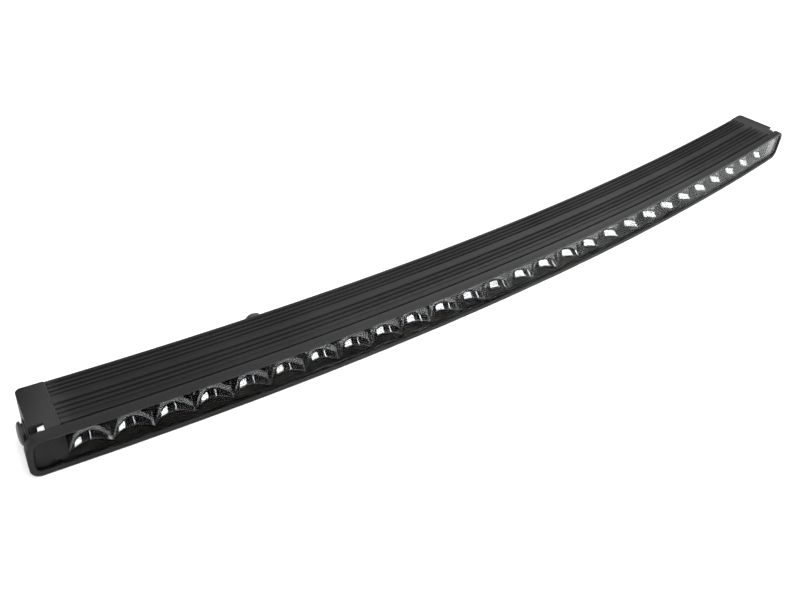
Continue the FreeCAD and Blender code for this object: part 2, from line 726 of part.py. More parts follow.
def cup_solid():
    """Paraboloid about +Z that opens upwards, cut to the cup's floor and ceiling."""
    focus = S.cup_focus.value
    reach = S.cup_reach.value
    steps = [reach * i / 8 for i in range(9)]
    curve = Part.BSplineCurve()
    curve.interpolate([VECTOR(r, 0, r * r / (4 * focus)) for r in steps],
                      InitialTangent=VECTOR(1, 0, 0),
                      FinalTangent=VECTOR(1, 0, reach / (2 * focus)))
    rim_height = reach * reach / (4 * focus)
    rim = Part.makeLine(VECTOR(reach, 0, rim_height), VECTOR(0, 0, rim_height))
    axis = Part.makeLine(VECTOR(0, 0, rim_height), VECTOR(0, 0, 0))
    wire = Part.Wire([curve.toShape(), rim, axis])
    solid = Part.Face(wire).revolve(VECTOR(0, 0, 0), VECTOR(0, 0, 1), 360)
    low = S.cup_floor.value - S.cup_axis.value
    high = S.cup_ceiling.value - S.cup_axis.value
    over = OVERCUT.value
    window = Part.makeBox(2 * reach, high - low, rim_height + 2 * over,
                          VECTOR(-reach, low, -over))
    return solid.common(window)


def make_reflectors():
    cup = cup_solid()
    through = S.reflector_back.value
    for strip in range(int(S.strip_count.value)):
        slab = curved_slab(f"reflector_slab_{strip + 1}", (S.reflector_front, S.reflector_back),
                           (S.reflector_bottom, S.reflector_top), strip_half(),
                           distance=strip_centre(strip))
        cups = []
        for distance in cell_distances(strip):
            place = out_of_board(distance, S.cup_vertex.value, S.cup_axis.value)
            tool = cup.copy()
            tool.Placement = place
            hole = Part.makeCylinder(S.led_hole.value, through, VECTOR(0, 0, -through / 2))
            hole.Placement = place
            cups += [tool, hole]
        strip_piece = doc.addObject("Part::Feature", f"reflector_strip_{strip + 1}")
        strip_piece.Shape = slab.Shape.cut(cups)
        keep(f"reflector_{strip + 1}", strip_piece)


def make_end_shields():
    """Black plate behind each end of the lens, turned back along the last cell's side."""
    last = S.strip_count.value - 1
    start = cell_distances(int(last))[-1] + S.cell_pitch.value / 2
    body = new_body("right_shield_body")
    plan = new_sketch(body, "shield_plan", "XY_Plane")
    reach = S.shield_half - start
    front = S.shield_front
    inner = front + S.shield_front_thickness
    wall = S.shield_wall
    add_outline(plan, [(ZERO, front), (reach, front), (reach, inner), (wall, inner),
                       (wall, S.reflector_back), (ZERO, S.reflector_back)])
    base = pad(body, plan, "shield_plate", S.reflector_top - S.reflector_bottom)
    doc.recompute()
    for end, radius in (("bottom", S.window_bottom_round), ("top", S.window_top_round)):
        level = 0 if end == "bottom" else (S.reflector_top - S.reflector_bottom).value
        corner = body.newObject("PartDesign::Fillet", f"shield_{end}_corner")
        corner.Base = (base, outer_corner_edges(base.Shape, reach.value, level))
        corner.setExpression("Radius", radius.formula)
        doc.recompute()
        base = corner
    body.Placement = station(start, 0, S.reflector_bottom.value)
    keep_both_ends("end_shield", body)


def outer_corner_edges(shape, x, z):
    """Names of the edges that run along Y through one (x, z) corner."""
    names = []
    for number, edge in enumerate(shape.Edges, start=1):
        middle = edge.CenterOfMass
        if abs(middle.x - x) < 1e-6 and abs(middle.z - z) < 1e-6:
            names.append(f"Edge{number}")
    return names


def make_lamp_boards():
    board_back = S.board_front + S.board_thickness
    pad_back = board_back + S.pad_thickness
    for strip in range(int(S.strip_count.value)):
        centre = strip_centre(strip)
        keep(f"led_board_{strip + 1}",
             curved_slab(f"board_slab_{strip + 1}", (S.board_front, board_back),
                         (S.board_bottom, S.board_top), strip_half(), distance=centre))
        keep(f"thermal_pad_{strip + 1}",
             curved_slab(f"pad_slab_{strip + 1}", (board_back, pad_back),
                         (S.pad_bottom, S.pad_top), strip_half(), distance=centre))
    bases, domes = [], []
    distances = [d for strip in range(int(S.strip_count.value)) for d in cell_distances(strip)]
    half = -S.led_base.value / 2
    for number, distance in enumerate(distances, start=1):
        place = out_of_board(distance, S.board_front.value, S.cup_axis.value)
        bases.append(block(f"led_base_{number}", (S.led_base, S.led_base, S.led_base_height),
                           moved(place, half, half)))
        dome = doc.addObject("Part::Sphere", f"led_dome_{number}")
        dome.setExpression("Radius", S.dome_radius.formula)
        dome.Angle1 = 0
        dome.Placement = moved(place, z=S.led_base_height.value)
        domes.append(dome)
    keep("led_emitters", group("led_emitter_set", bases))
    keep("led_domes", group("led_dome_set", domes))


def make_driver():
    """Power board on spacers in the rear chamber, with its taller parts facing back."""
    place = station(0.0)
    body = new_body("driver_board_body")
    sketch = new_sketch(body, "driver_outline", "XZ_Plane")
    half = S.driver_length / 2
    add_outline(sketch, rectangle(ZERO - half, half, S.driver_bottom, S.driver_top))
    pad(body, sketch, "driver_plate", S.driver_thickness)
    doc.recompute()
    back = S.driver_front + S.driver_thickness
    body.Placement = moved(place, y=back.value)
    keep("driver_board", body)
    middle = ((S.driver_bottom + S.driver_top) / 2).value
    backwards = FreeCAD.Rotation(VECTOR(1, 0, 0), -90)

    def facing_back(x, depth):
        spot = FreeCAD.Placement(VECTOR(x, depth, middle), backwards)
        return place.multiply(spot)

    cans = []
    for i in range(int(S.capacitor_count.value)):
        x = (S.capacitor_start + S.capacitor_pitch * i).value
        cans.append(cylinder(f"capacitor_{i + 1}", S.capacitor_radius, S.capacitor_height,
                             facing_back(x, back.value)))
    keep("driver_capacitors", group("capacitor_set", cans))
    coil = doc.addObject("Part::Torus", "choke_coil")
    coil.setExpression("Radius1", S.coil_radius.formula)
    coil.setExpression("Radius2", S.coil_wire.formula)
    coil.Placement = moved(facing_back(S.coil_place.value, back.value),
                           z=(S.coil_wire + S.coil_lift).value)
    keep("driver_choke", group("choke_set", [coil]))
    chips = []
    for i in range(int(S.chip_count.value)):
        x = (S.chip_start + S.chip_pitch * i - S.chip_length / 2).value
        spot = moved(facing_back(x, back.value), y=-S.chip_width.value / 2)
        chips.append(block(f"driver_chip_{i + 1}", (S.chip_length, S.chip_width, S.chip_height),
                           spot))
    keep("driver_chips", group("chip_set", chips))
    start = S.web_back + S.spacer_gap
    spacers = [cylinder(f"driver_spacer_{side}", S.spacer_radius, S.driver_front - start,
                        facing_back(x, start.value))
               for side, x in (("left", -S.spacer_place.value), ("right", S.spacer_place.value))]
    keep("driver_spacers", group("spacer_set", spacers))


# ---- cable gland and breather ----------------------------------------------------------------

def make_gland():
    place = out_of_back(S.gland_place.value, S.gland_height.value)
    inside = S.chamber_back - S.bar_depth
    thread = S.gland_thread
    bore = S.gland_bore
    shelf = S.gland_flange_height
    neck_top = shelf + S.gland_neck_height
    keep("gland_body", turned_body("gland_body_solid", [
        (bore, inside), (thread, inside), (thread, ZERO), (S.gland_flange, ZERO),
        (S.gland_flange, shelf), (S.gland_neck, shelf), (S.gland_neck, neck_top),
        (bore, neck_top)], place))
    keep("gland_seal", turned_body("gland_seal_solid", rectangle(
        S.seal_bore, bore, neck_top - S.seal_length, neck_top), place))
    nut = new_body("gland_nut_solid")
    outline = new_sketch(nut, "gland_nut_outline", "XY_Plane")
    add_outline(outline, hexagon(S.nut_across_flats))
    pad(nut, outline, "gland_nut_prism", S.nut_height)
    doc.recompute()
    foot = shelf + S.nut_lift
    nut.Placement = moved(place, z=foot.value)
    crown_top = S.nut_height + S.nut_crown
    crown = turned_body("gland_nut_crown", [
        (S.nut_mouth, S.nut_height), (S.nut_shoulder, S.nut_height),
        (S.nut_crown_radius, crown_top), (S.nut_mouth, crown_top)], nut.Placement)
    inner = turned_body("gland_nut_bore", [
        (ZERO, ZERO - OVERCUT), (S.gland_neck, ZERO - OVERCUT), (S.gland_neck, neck_top - foot),
        (S.nut_mouth, neck_top - foot), (S.nut_mouth, S.nut_height + OVERCUT),
        (ZERO, S.nut_height + OVERCUT)], nut.Placement)
    joined = doc.addObject("Part::Fuse", "gland_nut_joined")
    joined.Base = cut("gland_nut_hollow", nut, inner)
    joined.Tool = crown
    doc.recompute()
    keep("gland_nut", joined)


def make_breather():
    place = out_of_back(S.breather_place.value, S.gland_height.value)
    inside = S.chamber_back - S.bar_depth
    keep("breather_body", turned_body("breather_body_solid", [
        (ZERO, inside), (S.breather_stem, inside), (S.breather_stem, ZERO),
        (S.breather_radius, ZERO), (S.breather_radius, S.breather_height),
        (ZERO, S.breather_height)], place))
    chamfer = S.breather_cap_chamfer
    keep("breather_cap", turned_body("breather_cap_solid", [
        (ZERO, ZERO), (S.breather_cap_radius, ZERO),
        (S.breather_cap_radius, S.breather_cap_height - chamfer),
        (S.breather_cap_radius - chamfer, S.breather_cap_height),
        (ZERO, S.breather_cap_height)], moved(place, z=S.breather_height.value)))


def main():
    make_housing()
    make_front()
    make_end_caps()
    make_cap_gaskets()
    make_cap_screws()
    make_bracket_bolts()
    make_reflectors()
    make_end_shields()
    make_lamp_boards()
    make_driver()
    make_gland()
    make_breather()
    doc.recompute()
    for item in doc.Objects:
        if "Invalid" in item.State or "Error" in item.State:
            raise RuntimeError(f"{item.Name} failed: {item.State}")
    os.makedirs("parts", exist_ok=True)
    for node, piece in PARTS.items():
        shape = piece.Shape
        if shape.isNull() or not shape.isValid():
            raise RuntimeError(f"{node} has no valid shape")
        shape.exportStep(f"parts/{node}.step")
        box = shape.BoundBox
        print(f"{node}: {len(shape.Solids)} solids, {shape.Volume:.1f} mm3, "
              f"x {box.XMin:.1f} to {box.XMax:.1f}, y {box.YMin:.1f} to {box.YMax:.1f}, "
              f"z {box.ZMin:.1f} to {box.ZMax:.1f}")


main()
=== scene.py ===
import math

import bmesh
import bpy
from mathutils import Matrix, Vector


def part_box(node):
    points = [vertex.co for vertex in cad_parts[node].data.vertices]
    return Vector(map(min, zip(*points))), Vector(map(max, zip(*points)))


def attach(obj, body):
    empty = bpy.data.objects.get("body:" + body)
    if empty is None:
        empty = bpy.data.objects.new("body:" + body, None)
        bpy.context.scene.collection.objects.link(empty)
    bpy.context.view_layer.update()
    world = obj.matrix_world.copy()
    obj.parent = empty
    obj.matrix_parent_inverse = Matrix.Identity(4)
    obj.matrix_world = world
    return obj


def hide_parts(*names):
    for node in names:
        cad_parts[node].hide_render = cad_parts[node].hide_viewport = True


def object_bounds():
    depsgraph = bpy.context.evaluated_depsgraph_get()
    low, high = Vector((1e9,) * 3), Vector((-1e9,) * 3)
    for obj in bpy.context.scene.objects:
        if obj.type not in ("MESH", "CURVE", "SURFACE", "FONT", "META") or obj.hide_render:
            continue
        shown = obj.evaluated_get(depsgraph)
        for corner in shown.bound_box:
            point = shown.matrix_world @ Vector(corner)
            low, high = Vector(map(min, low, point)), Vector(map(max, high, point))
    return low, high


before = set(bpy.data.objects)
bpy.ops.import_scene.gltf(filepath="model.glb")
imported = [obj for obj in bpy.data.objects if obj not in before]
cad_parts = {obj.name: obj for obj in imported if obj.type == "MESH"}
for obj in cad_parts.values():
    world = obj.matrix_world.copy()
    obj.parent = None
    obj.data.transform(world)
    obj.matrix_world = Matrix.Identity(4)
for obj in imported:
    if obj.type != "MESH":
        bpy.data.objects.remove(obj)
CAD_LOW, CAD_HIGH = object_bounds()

# ---- sizes of the bar, in millimetres ---------------------------------------------------------
# A distance runs along the arc of the front face from the middle of the bar, positive to the
# right. A depth runs back from the front face, and a height up from the underside.
MM = 0.001
ARC_RADIUS = 3400.0
FRONT_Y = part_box("front_bezel")[0].y / MM
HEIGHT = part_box("front_bezel")[1].z / MM
DEPTH = 53.0
PITCH = 30.0
STRIPS = 3
CELLS_PER_STRIP = 9
HOUSING_HALF = 405.9
CAP_START = 406.6
CAP_END = 426.0
BEZEL_HALF = 431.5
WINDOW_HALF = 427.4
RECESS_HALF = 429.4
CAP_LENGTH = CAP_END - CAP_START
SEAM_DEPTH = 8.6
CHAMBER_BACK = 48.5
AROUND = 48


# ---- places along the bar ---------------------------------------------------------------------
def on_bar(distance, depth, height):
    """Point at a distance along the front face, a depth behind it and a height."""
    turn = distance / ARC_RADIUS
    radius = ARC_RADIUS - depth
    axis_y = ARC_RADIUS + FRONT_Y
    return Vector((radius * math.sin(turn), axis_y - radius * math.cos(turn), height)) * MM


def station(distance, offset=0.0, depth=0.0, height=0.0, facing="up"):
    """Frame at a place on the bar. Its Z points up, out along the bar, back or forwards."""
    turn = distance / ARC_RADIUS
    base = Matrix.Translation(on_bar(distance, 0, 0)) @ Matrix.Rotation(turn, 4, "Z")
    spin = {"up": Matrix.Identity(4), "out": Matrix.Rotation(math.radians(90), 4, "Y"),
            "in": Matrix.Rotation(math.radians(-90), 4, "Y"),
            "back": Matrix.Rotation(math.radians(-90), 4, "X"),
            "front": Matrix.Rotation(math.radians(90), 4, "X")}[facing]
    return base @ Matrix.Translation(Vector((offset, depth, height)) * MM) @ spin


def spread(first, last, steps):
    return [first + (last - first) * i / steps for i in range(steps + 1)]


# ---- materials --------------------------------------------------------------------------------
def new_material(name):
    material = bpy.data.materials.new(name)
    material.use_nodes = True
    nodes = material.node_tree.nodes
    return material, nodes, material.node_tree.links, nodes["Principled BSDF"]


def noise(nodes, links, coordinates, scale, detail=4.0, roughness=0.6, stretch=None):
    texture = nodes.new("ShaderNodeTexNoise")
    texture.inputs["Scale"].default_value = scale
    texture.inputs["Detail"].default_value = detail
    texture.inputs["Roughness"].default_value = roughness
    source = coordinates
    if stretch:
        mapping = nodes.new("ShaderNodeMapping")
        mapping.inputs["Scale"].default_value = stretch
        links.new(coordinates, mapping.inputs["Vector"])
        source = mapping.outputs["Vector"]
    links.new(source, texture.inputs["Vector"])
    return texture.outputs["Fac"]


def ramp(nodes, links, value, stops):
    """Colour ramp from (position, colour) stops, or grey levels."""
    node = nodes.new("ShaderNodeValToRGB")
    elements = node.color_ramp.elements
    while len(elements) < len(stops):
        elements.new(0.5)
    for element, (position, colour) in zip(elements, stops):
        element.position = position
        level = colour if isinstance(colour, tuple) else (colour,) * 3
        element.color = (*level, 1.0)
    links.new(value, node.inputs["Fac"])
    return node.outputs["Color"]


def finish_surface(name, colours, roughness, metallic=0.0, grain=900.0, cloud=60.0,
                   bump=0.2, relief=0.00004, stretch=None, wear=None, coat=0.0,
                   coat_roughness=0.1, specular=0.5):
    """Surface with clouded colour, uneven roughness, grain relief and optional worn edges.

    Grain and cloud are noise scales per metre, and relief is the grain's height in metres.
    """
    material, nodes, links, shader = new_material(name)
    place = nodes.new("ShaderNodeTexCoord").outputs["Object"]
    broad = noise(nodes, links, place, cloud, 3.0, 0.55)
    fine = noise(nodes, links, place, grain, 5.0, 0.65, stretch)
    colour = ramp(nodes, links, broad, [(0.3, colours[0]), (0.7, colours[1])])
    if wear:
        edges = nodes.new("ShaderNodeNewGeometry").outputs["Pointiness"]
        mask = ramp(nodes, links, edges, [(0.52, 0.0), (0.62, 1.0)])
        speckle = ramp(nodes, links, fine, [(0.45, 0.0), (0.6, 1.0)])
        both = nodes.new("ShaderNodeMath")
        both.operation = "MULTIPLY"
        links.new(mask, both.inputs[0])
        links.new(speckle, both.inputs[1])
        blend = nodes.new("ShaderNodeMix")
        blend.data_type = "RGBA"
        links.new(both.outputs["Value"], blend.inputs["Factor"])
        links.new(colour, blend.inputs["A"])
        blend.inputs["B"].default_value = (*wear, 1.0)
        colour = blend.outputs["Result"]
    links.new(colour, shader.inputs["Base Color"])
    links.new(ramp(nodes, links, fine, [(0.25, roughness[0]), (0.75, roughness[1])]),
              shader.inputs["Roughness"])
    relief_node = nodes.new("ShaderNodeBump")
    relief_node.inputs["Strength"].default_value = bump
    relief_node.inputs["Distance"].default_value = relief
    links.new(fine, relief_node.inputs["Height"])
    links.new(relief_node.outputs["Normal"], shader.inputs["Normal"])
    shader.inputs["Metallic"].default_value = metallic
    shader.inputs["Specular IOR Level"].default_value = specular
    shader.inputs["Coat Weight"].default_value = coat
    shader.inputs["Coat Roughness"].default_value = coat_roughness
    return material


POWDER = finish_surface("powder_coat", ((0.0075, 0.0075, 0.0077), (0.0115, 0.0115, 0.0115)),
                        (0.38, 0.55), grain=1500.0, cloud=14.0, bump=0.35, relief=0.00006,
                        wear=(0.05, 0.05, 0.05), specular=0.06)
CHROME = finish_surface("reflector_chrome", ((0.060, 0.061, 0.062), (0.078, 0.079, 0.080)),
                        (0.02, 0.05), metallic=1.0, grain=220.0, cloud=30.0, bump=0.03,
                        relief=0.00002)
GLOSS_BLACK = finish_surface("black_gloss", ((0.003, 0.003, 0.003), (0.006, 0.006, 0.006)),
                             (0.10, 0.18), grain=700.0, cloud=40.0, bump=0.05, specular=0.07)
ZINC = finish_surface("zinc_steel", ((0.42, 0.43, 0.44), (0.56, 0.56, 0.54)), (0.18, 0.36),
                      metallic=1.0, grain=900.0, cloud=300.0, bump=0.15,
                      stretch=(1.0, 8.0, 8.0))
BLACK_STEEL = finish_surface("black_steel", ((0.010, 0.010, 0.010), (0.018, 0.017, 0.017)),
                             (0.30, 0.46), grain=1300.0, cloud=200.0, bump=0.2,
                             wear=(0.12, 0.115, 0.11), specular=0.35)
RUBBER = finish_surface("seal_rubber", ((0.010, 0.010, 0.010), (0.018, 0.018, 0.018)),
                        (0.55, 0.75), grain=2200.0, cloud=90.0, bump=0.3)
BRASS = finish_surface("insert_brass", ((0.60, 0.44, 0.18), (0.76, 0.58, 0.28)), (0.2, 0.4),
                       metallic=1.0, grain=1100.0, cloud=200.0)
MASK = finish_surface("board_mask", ((0.78, 0.79, 0.77), (0.86, 0.86, 0.84)), (0.35, 0.5),
                      grain=1600.0, cloud=120.0, bump=0.1)
GAP_PAD = finish_surface("thermal_gap_pad", ((0.35, 0.40, 0.46), (0.43, 0.48, 0.54)),
                         (0.7, 0.85), grain=1800.0, cloud=150.0)
CERAMIC = finish_surface("led_ceramic", ((0.78, 0.77, 0.72), (0.88, 0.87, 0.83)), (0.4, 0.6),
                         grain=2600.0, cloud=400.0, bump=0.1)
PHOSPHOR = finish_surface("led_phosphor", ((0.62, 0.50, 0.12), (0.74, 0.60, 0.18)),
                          (0.1, 0.2), grain=2600.0, cloud=500.0, bump=0.05, coat=1.0,
                          coat_roughness=0.03)
FR4 = finish_surface("driver_fr4", ((0.02, 0.12, 0.05), (0.04, 0.18, 0.08)), (0.35, 0.5),
                     grain=1500.0, cloud=200.0)
SLEEVE = finish_surface("capacitor_sleeve", ((0.02, 0.03, 0.06), (0.04, 0.05, 0.09)),
                        (0.2, 0.3), grain=900.0, cloud=100.0)
FERRITE = finish_surface("ferrite", ((0.10, 0.09, 0.08), (0.18, 0.15, 0.12)), (0.4, 0.6),
                         grain=1400.0, cloud=400.0)
EPOXY = finish_surface("chip_epoxy", ((0.015, 0.015, 0.015), (0.03, 0.03, 0.03)), (0.5, 0.7),
                       grain=2400.0, cloud=300.0)
NYLON = finish_surface("nylon", ((0.014, 0.014, 0.015), (0.022, 0.022, 0.023)), (0.38, 0.55),
                       grain=1700.0, cloud=150.0, bump=0.25)


def clear_material(name, ior):
    """Clear plastic with faint dust, tint and ripple."""
    material, nodes, links, shader = new_material(name)
    place = nodes.new("ShaderNodeTexCoord").outputs["Object"]
    dust = noise(nodes, links, place, 800.0, 3.0)
    ripple = noise(nodes, links, place, 18.0, 2.0)
    links.new(ramp(nodes, links, dust, [(0.6, 0.0), (0.85, 0.02)]), shader.inputs["Roughness"])
    tint = ramp(nodes, links, ripple, [(0.3, (0.93, 0.95, 0.95)), (0.7, (0.97, 0.98, 0.98))])
    links.new(tint, shader.inputs["Base Color"])
    relief = nodes.new("ShaderNodeBump")
    relief.inputs["Strength"].default_value = 0.03
    relief.inputs["Distance"].default_value = 0.0001
    links.new(ripple, relief.inputs["Height"])
    links.new(relief.outputs["Normal"], shader.inputs["Normal"])
    shader.inputs["Transmission Weight"].default_value = 1.0
    shader.inputs["IOR"].default_value = ior
    return material


LENS_IOR = 1.08  # well under acrylic's 1.49, so the pale floor doesn't veil the cups
SILICONE_IOR = 1.41
LENS = clear_material("clear_lens", LENS_IOR)
SILICONE = clear_material("led_silicone", SILICONE_IOR)


# ---- mesh tools -------------------------------------------------------------------------------
def make_piece(name, mesh_parts, material, body, replaced=(), sharp=35.0):
    """Object from (points, faces) pairs in metres, with smooth faces and sharp edges."""
    work = bmesh.new()
    for points, faces in mesh_parts:
        made = [work.verts.new(point) for point in points]
        for face in faces:
            work.faces.new([made[i] for i in face])
    bmesh.ops.remove_doubles(work, verts=work.verts, dist=1e-7)
    bmesh.ops.recalc_face_normals(work, faces=work.faces)
    for face in work.faces:
        face.smooth = True
    mesh = bpy.data.meshes.new(name)
    work.to_mesh(mesh)
    work.free()
    mesh.set_sharp_from_angle(angle=math.radians(sharp))
    mesh.materials.append(material)
    piece = bpy.data.objects.new(name, mesh)
    bpy.context.collection.objects.link(piece)
    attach(piece, body)
    if replaced:
        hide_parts(*replaced)
    return piece


def ring_faces(rings, count, closed):
    """Quads between rings of equal count; closed joins the last ring to the first."""
    faces = []
    pairs = list(zip(range(rings - 1), range(1, rings)))
    if closed:
        pairs.append((rings - 1, 0))
    for a, b in pairs:
        for i in range(count):
            j = (i + 1) % count
            faces.append((a * count + i, a * count + j, b * count + j, b * count + i))
    return faces


def filleted(corners, steps=3):
    """Closed (x, y, radius) outline with its corners rounded, as (x, y) points."""
    outline = []
    for i, (x, y, radius) in enumerate(corners):
        if radius <= 0:
            outline.append((x, y))
            continue
        here = Vector((x, y))
        before = (Vector(corners[i - 1][:2]) - here).normalized()
        after = (Vector(corners[(i + 1) % len(corners)][:2]) - here).normalized()
        half = before.angle(after) / 2
        reach = radius / math.tan(half)
        centre = here + (before + after).normalized() * (radius / math.sin(half))
        start = here + before * reach - centre
        stop = here + after * reach - centre
        turn = start.angle_signed(stop)
        for k in range(steps + 1):
            angle = -turn * k / steps
            c, s = math.cos(angle), math.sin(angle)
            outline.append((centre.x + start.x * c - start.y * s,
                            centre.y + start.x * s + start.y * c))
    return outline


def crown(first, last, level, rise, steps=7):
    """Points along a shallow arc between two ends of a ridge, ends left out."""
    points = []
    for k in range(1, steps):
        t = 2 * k / steps - 1
        points.append((first + (last - first) * k / steps, level + rise * (1 - t * t), 0))
    return points


# ---- housing ----------------------------------------------------------------------------------
GROOVE_HALF = 0.95
GROOVE_DRAFT = 0.35
GROOVE_CUT = 1.8
SHALLOW_CUT = 0.8
CROWN_RISE = 0.5
LIP_ROUND = 0.22
ROOT_ROUND = 0.12
CORNER_ROUND = 2.0
# (depth, cut) of each groove: one shallow, a front group of three and a back group of four.
GROOVES = ([(13.3, SHALLOW_CUT)] + [(18 + 4.8 * i, GROOVE_CUT) for i in range(3)]
           + [(36.6 + 4 * i, GROOVE_CUT) for i in range(4)])
CROWNED_AFTER = (1, 2, 4, 5, 6)  # grooves with a crowned ridge behind them
POCKET_FRONT = 4.7
POCKET_BACK = 22
POCKET_LOW = 3.4
POCKET_HIGH = 29.1
MOUTH_LOW = 2.3
MOUTH_HIGH = 31.7
CHAMBER = [(26.5, 4.5), (42, 4.5), (CHAMBER_BACK, 11), (CHAMBER_BACK, 23), (42, 29.5),
           (26.5, 29.5)]
HOUSING_STEPS = 84


def ribbed_face(level, direction):
    """Grooved outer face from the seam to the back corner, as filleted() corners."""
    points = []
    for i, (centre, cut) in enumerate(GROOVES):
        entry = CROWN_RISE if i - 1 in CROWNED_AFTER else 0.0
        leave = CROWN_RISE if i in CROWNED_AFTER else 0.0
        front, back = centre - GROOVE_HALF, centre + GROOVE_HALF
        points.append((front, level - direction * entry, LIP_ROUND))
        points.append((front + GROOVE_DRAFT, level - direction * cut, ROOT_ROUND))
        points.append((back - GROOVE_DRAFT, level - direction * cut, ROOT_ROUND))
        points.append((back, level - direction * leave, LIP_ROUND))
        if i in CROWNED_AFTER:
            points += crown(back, GROOVES[i + 1][0] - GROOVE_HALF,
                            level - direction * CROWN_RISE, direction * CROWN_RISE)
    return points


def rear_groove(top):
    """Corners of a groove in the back face, from its upper lip down."""
    root, lip = DEPTH - GROOVE_CUT, 0.2
    low = top - 2 * GROOVE_HALF
    return [(DEPTH, top, lip), (root, top - GROOVE_DRAFT, ROOT_ROUND),
            (root, low + GROOVE_DRAFT, ROOT_ROUND), (DEPTH, low, lip)]


def housing_outline():
    """Section of the extrusion, open at the front for the lamps."""
    front_round, mouth_round = 0.35, 0.2
    upper_groove, lower_groove = HEIGHT - 5.4, 7.3
    corners = [(SEAM_DEPTH, HEIGHT, front_round)] + ribbed_face(HEIGHT, 1)
    corners += [(DEPTH, HEIGHT, CORNER_ROUND)] + rear_groove(upper_groove)
    corners += rear_groove(lower_groove) + [(DEPTH, 0, CORNER_ROUND)]
    corners += ribbed_face(0, -1)[::-1] + [(SEAM_DEPTH, 0, front_round)]
    corners += [(SEAM_DEPTH, MOUTH_LOW, mouth_round), (POCKET_FRONT, MOUTH_LOW, 0),
                (POCKET_FRONT, POCKET_LOW, 0), (POCKET_BACK, POCKET_LOW, 0),
                (POCKET_BACK, POCKET_HIGH, 0), (POCKET_FRONT, POCKET_HIGH, 0),
                (POCKET_FRONT, MOUTH_HIGH, 0), (SEAM_DEPTH, MOUTH_HIGH, mouth_round)]
    return filleted(corners)


def build_housing():
    stops = spread(-HOUSING_HALF, HOUSING_HALF, HOUSING_STEPS)
    work = bmesh.new()
    end_edges = {0: [], len(stops) - 1: []}
    for outline in (housing_outline(), CHAMBER):
        rings = [[work.verts.new(on_bar(s, d, z)) for d, z in outline] for s in stops]
        for a, b in zip(rings, rings[1:]):
            for i in range(len(outline)):
                j = (i + 1) % len(outline)
                work.faces.new((a[i], a[j], b[j], b[i]))
        for end in end_edges:
            ring = rings[end]
            end_edges[end] += [work.edges.get((ring[i], ring[(i + 1) % len(ring)]))
                               for i in range(len(ring))]
    for edges in end_edges.values():
        bmesh.ops.triangle_fill(work, use_beauty=True, edges=edges)
    bmesh.ops.recalc_face_normals(work, faces=work.faces)
    points = [v.co.copy() for v in work.verts]
    work.verts.index_update()
    faces = [tuple(v.index for v in f.verts) for f in work.faces]
    work.free()
    make_piece("ribbed_housing", [(points, faces)], POWDER, "bar", ["housing"])


# ---- bezel and lens ---------------------------------------------------------------------------
def rounded_outline(half, low, high, low_round, high_round, long_steps=72, corner_steps=10):
    """Rounded rectangle of (distance, height) points with the same count for any sizes."""
    points = [(s, low) for s in spread(-half + low_round, half - low_round, long_steps)]
    for side in (1, -1):
        ends = ((low_round, low + low_round, -90), (high_round, high - high_round, 0))
        for radius, centre, start in ends if side == 1 else ends[::-1]:
            for k in range(1 if radius else 0, corner_steps + 1):
                angle = start + 90 * k / corner_steps
                if side == -1:
                    angle = (90 if start == 0 else 180) + 90 * k / corner_steps
                a = math.radians(angle)
                points.append((side * (half - radius) + radius * math.cos(a),
                               centre + radius * math.sin(a)))
        if side == 1:
            top = spread(half - high_round, -half + high_round, long_steps)[1:]
            points += [(s, high) for s in top]
    return points[:-1]


BEZEL_DEPTH = 7.0
BEZEL_EDGE = 0.7
WINDOW_LOW = 4
WINDOW_HIGH = 30.5
WINDOW_EDGE = 0.4
RECESS_WALL = 2
RECESS_DEPTH = 1.2
# Radii of the lower and the upper corners.
OUTER_ROUNDS = (8, 12)
WINDOW_ROUNDS = (5, 9)
RECESS_ROUNDS = (6, 10)


def build_bezel():
    """Frame as a loop of outlines: the outside, the front edges, the window, the recess."""
    def outer(inset):
        low_round, high_round = OUTER_ROUNDS
        return (BEZEL_HALF - inset, inset, HEIGHT - inset, low_round - inset, high_round - inset)

    def window(outset):
        low_round, high_round = WINDOW_ROUNDS
        return (WINDOW_HALF + outset, WINDOW_LOW - outset, WINDOW_HIGH + outset,
                low_round + outset, high_round + outset)

    recess = (RECESS_HALF, RECESS_WALL, HEIGHT - RECESS_WALL, *RECESS_ROUNDS)
    back_edge = 0.25
    layers = [(outer(back_edge), BEZEL_DEPTH), (outer(0), BEZEL_DEPTH - back_edge),
              (outer(0), BEZEL_EDGE), (outer(0.1), 0.33), (outer(0.33), 0.1),
              (outer(BEZEL_EDGE), 0.0), (window(WINDOW_EDGE), 0.0), (window(0.12), 0.12),
              (window(0), WINDOW_EDGE), (window(0), RECESS_DEPTH), (recess, RECESS_DEPTH),
              (recess, BEZEL_DEPTH)]
    points = []
    for sizes, depth in layers:
        outline = rounded_outline(*sizes)
        points += [on_bar(s, depth, z) for s, z in outline]
    count = len(outline)
    make_piece("bezel_frame", [(points, ring_faces(len(layers), count, True))], POWDER,
               "bar", ["front_bezel"])


LENS_GAP = 0.3
LENS_FRONT = 1.25
LENS_BACK = 3.2
LENS_ROWS = 4
LENS_STEPS = 84


